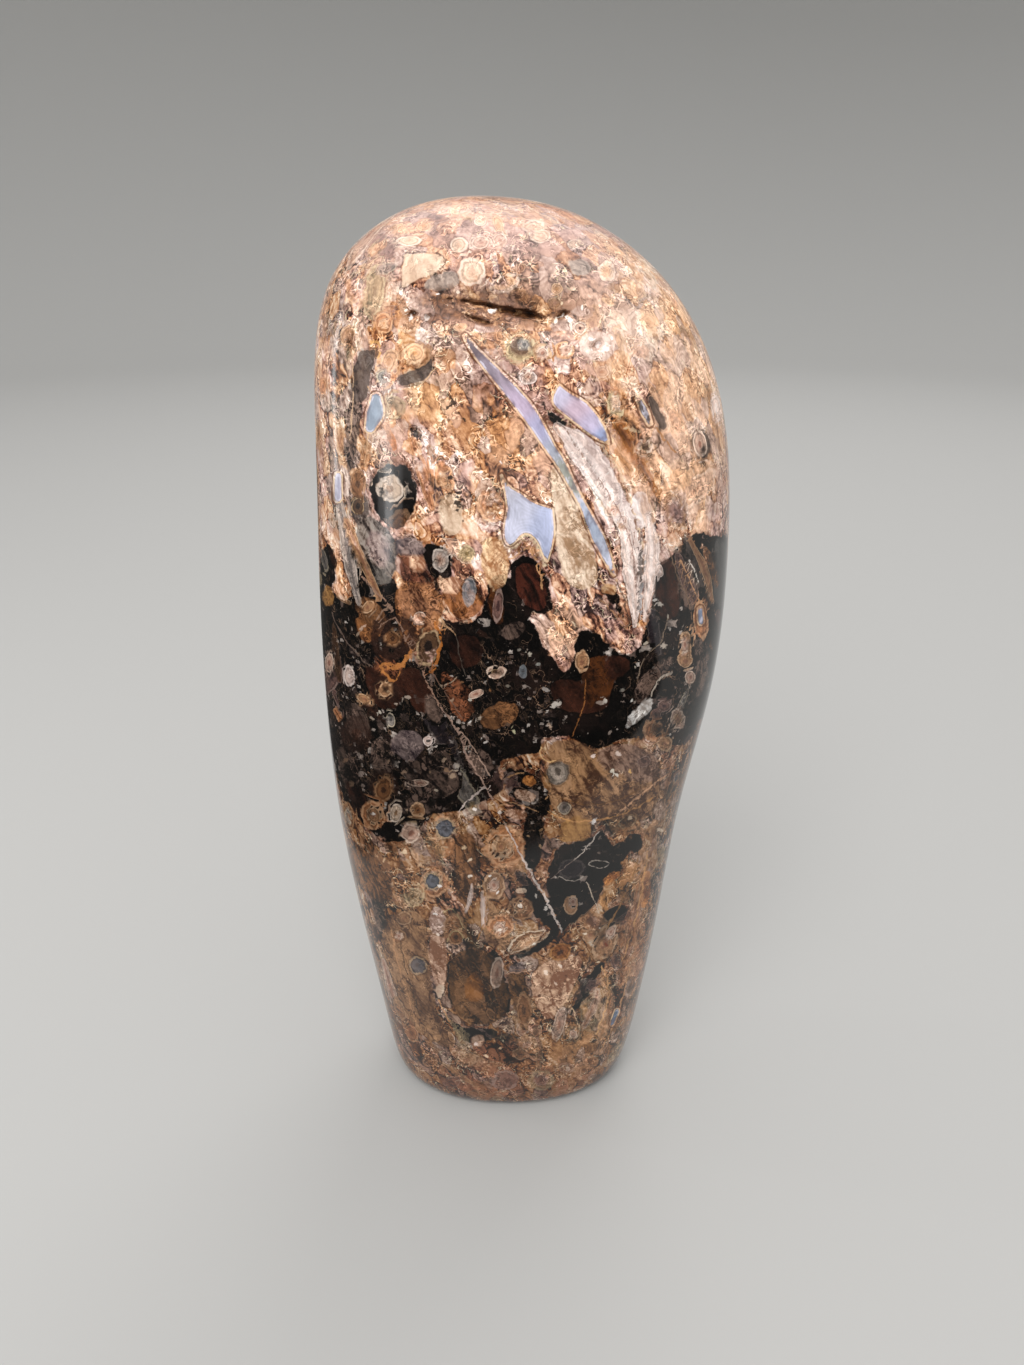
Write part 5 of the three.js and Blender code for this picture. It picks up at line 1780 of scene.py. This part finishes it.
# %% Dots
dot_across, dot_along, dot_away = parts(field("dot_place", "Vector"))
dot_size = hypotenuse(dot_across, dot_along) + ragged * 1.6 + gritty * 2.4
in_dot = fall(dot_size, 0.6, 1.15) * fall(dot_away, 1.5, 4.0)
dot_shade = (light * 0.5 + 0.65) * (1 - in_low * 0.2 - in_black * 0.4)

# %% Raw hollow and openings
RAW = stops((0.1, 0.32, 0.5, 0.68, 0.86, 1.0), "20120C 4A2C18 70462A A07046 D2AE84 F6EADA")
RAW_STRETCH = (0.3, 1, 1.8)
raw_mask = rise(field("raw") + ragged * 0.5, 0.4, 0.75)
sparkle = fall(cells(place, 0.7), 0.08, 0.15) * rise(noise(place, 1.8, 2.0), 0.52, 0.6)
raw_fibre = noise(stretched(place, RAW_STRETCH), 0.9, 4.0, 0.6)
raw_tone = light * 0.7 + raw_fibre * 0.5 - 0.16 + (crumb_tone - 0.5) * 0.24
raw_colour = paint(ramp(raw_tone, RAW), solid("FFF8EE"), sparkle * 0.9)
colour = paint(colour, raw_colour, raw_mask * 0.75)
# Inside the openings the raw colour is a little darker: a little painted shade in the recess.
open_mask = rise(field("opened") + ragged * 0.3, 0.25, 1.2)
colour = paint(colour, scaled(raw_colour, 0.9), open_mask * 0.9)
colour = paint(colour, tinted("dot_colour", dot_shade), in_dot * 0.9)

# %% [markdown]
# ## The finish, part eight: the polish
# Chalcedony takes a glassy polish, crumbly tan stone a slightly softer one, and the raw hollow none.
# A faint bump lets the pores catch the light.

# %% Polish
CHALCEDONY_INDEX = 1.54
PLAIN_SPECULAR = 0.5
BUMP = {"Strength": 0.35, "Distance": 0.0004}
roughness = 0.12 + (mottle - 0.4) * 0.16 - in_black * 0.04 + raw_mask * 0.45
roughness = least(most(roughness, 0.06), 0.8)
bump_height = (ragged * 0.5 + grit * 0.35) * (raw_mask * 0.9 + 0.02)
surface_normal = start.node("ShaderNodeBump", {}, {**BUMP, "Height": bump_height})
shader = start.node("ShaderNodeBsdfPrincipled", {}, {
    "Base Color": colour,
    "Roughness": roughness,
    "Normal": surface_normal,
    "IOR": CHALCEDONY_INDEX,
    "Specular IOR Level": PLAIN_SPECULAR,
})
surface_output = tree.nodes.new("ShaderNodeOutputMaterial")
tree.links.new(shader.socket, surface_output.inputs["Surface"])
mesh.materials.append(material)
print(material.name, len(tree.nodes), "nodes")

# %% [markdown]
# ## The floor and the light
# The floor is one pale sheet that curves up into a low wall all round, so the polish mirrors the
# same soft grey from any side. The light comes from in front and above, without a hard mirror
# image, and from a sky that is bright overhead and dim near the horizon: it gives the crown its
# sheen.

# %% Floor that curves up into a wall
FLOOR_RADIUS = 0.9
CURVE_RADIUS = 0.4
WALL_HEIGHT = 0.75
FLOOR_TURNS = 96
SEEN_FROM_INSIDE = [0, 3, 2, 1]


def plain_material(name, code, roughness, specular):
    """A material of one colour, for the stage alone."""
    made = bpy.data.materials.new(name)
    made.use_nodes = True
    sockets = made.node_tree.nodes["Principled BSDF"].inputs
    sockets["Base Color"].default_value = solid(code)
    sockets["Roughness"].default_value = roughness
    sockets["Specular IOR Level"].default_value = specular
    return made


curve = np.linspace(0, math.pi / 2, 16)
reach = np.concatenate([[0], FLOOR_RADIUS + CURVE_RADIUS * np.sin(curve), [FLOOR_RADIUS + CURVE_RADIUS]])
lift = np.concatenate([[0], CURVE_RADIUS * (1 - np.cos(curve)), [WALL_HEIGHT]])
turns = np.linspace(0, 2 * math.pi, FLOOR_TURNS, endpoint=False)
floor_points = np.stack([
    reach[:, None] * np.cos(turns),
    reach[:, None] * np.sin(turns),
    lift[:, None] + 0 * turns,
], -1).reshape(-1, 3)
floor_faces = ring_quads(len(reach), FLOOR_TURNS)[:, SEEN_FROM_INSIDE]
floor_mesh = bpy.data.meshes.new("floor")
floor_mesh.from_pydata(floor_points.tolist(), [], floor_faces.tolist())
floor_mesh.shade_smooth()
floor = add_object("floor", floor_mesh)
floor_mesh.materials.append(plain_material("pale_floor", "9A9997", 0.6, 0.0))
print("floor", len(floor_faces), "faces")

# %% [markdown]
# ## What the front mirrors
# Polished black stone shows whatever it mirrors, and the pale floor would turn it grey. A studio
# keeps black deep with a flag, a dark sheet laid where only the polish sees it. It lies flat in
# front and round the left side. Only mirrored rays see it, so it neither shows nor casts a shadow.

# %% Dark cloth in front
CLOTH_LIFT = 0.001
CLOTH_OUTLINE = [
    (-0.5, 0.6), (-0.5, -0.5), (0.35, -0.6), (0.14, -0.085), (-0.05, -0.085), (-0.085, -0.03),
    (-0.1, 0.5),
]
cloth_corners = [(x, y, CLOTH_LIFT) for x, y in CLOTH_OUTLINE]
cloth_mesh = bpy.data.meshes.new("dark_cloth")
cloth_mesh.from_pydata(cloth_corners, [], [range(len(cloth_corners))])
cloth = add_object("dark_cloth", cloth_mesh)
cloth.visible_camera = False
cloth.visible_shadow = False
cloth.visible_diffuse = False
cloth_mesh.materials.append(plain_material("dark_cloth", "2A2826", 0.9, 0.5))


# %% Lights and sky
def soft_light(name, place, size, power, mirrored):
    """A flat light at a place in metres, as wide and high as its size, turned to the stone."""
    data = bpy.data.lights.new(name, "AREA")
    data.shape = "RECTANGLE"
    data.size, data.size_y = size
    data.energy = power
    lamp = add_object(name, data)
    aim = np.array([0, 0, AIM_SHARE * stone_high[2] * METRES]) - np.array(place)
    lamp.location = place
    tilt = math.atan2(math.hypot(aim[0], aim[1]), -aim[2])
    lamp.rotation_euler = (tilt, 0, math.atan2(aim[1], aim[0]) - math.pi / 2)
    lamp.visible_glossy = mirrored


soft_light("front", (-0.15, -0.7, 0.85), (0.7, 0.7), 12.0, False)
soft_light("behind", (0.25, 0.6, 0.85), (0.6, 0.6), 3.5, False)
soft_light("left window", (-0.27, -0.23, 0.07), (0.03, 0.15), 0.05, True)
soft_light("left window glow", (-0.29, -0.25, 0.08), (0.1, 0.22), 0.08, True)
soft_light("far left window", (-0.35, 0.06, 0.14), (0.03, 0.2), 0.09, True)

SKY = [(0.0, "8C8E8C"), (0.45, "8C8E8C"), (0.72, "FFFFFF"), (1.0, "FFFFFF")]
SKY_STRENGTH = 1.4
world = bpy.data.worlds.new("studio")
world.use_nodes = True
sky_start = Wire(world.node_tree)
height = parts(sky_start.node("ShaderNodeTexCoord", output="Generated"))[2]
sky = world.node_tree.nodes["Background"]
world.node_tree.links.new(ramp(height, SKY).socket, sky.inputs["Color"])
sky.inputs["Strength"].default_value = SKY_STRENGTH
bpy.context.scene.world = world
bpy.context.scene.view_settings.view_transform = "Standard"
print("lights and sky are set")
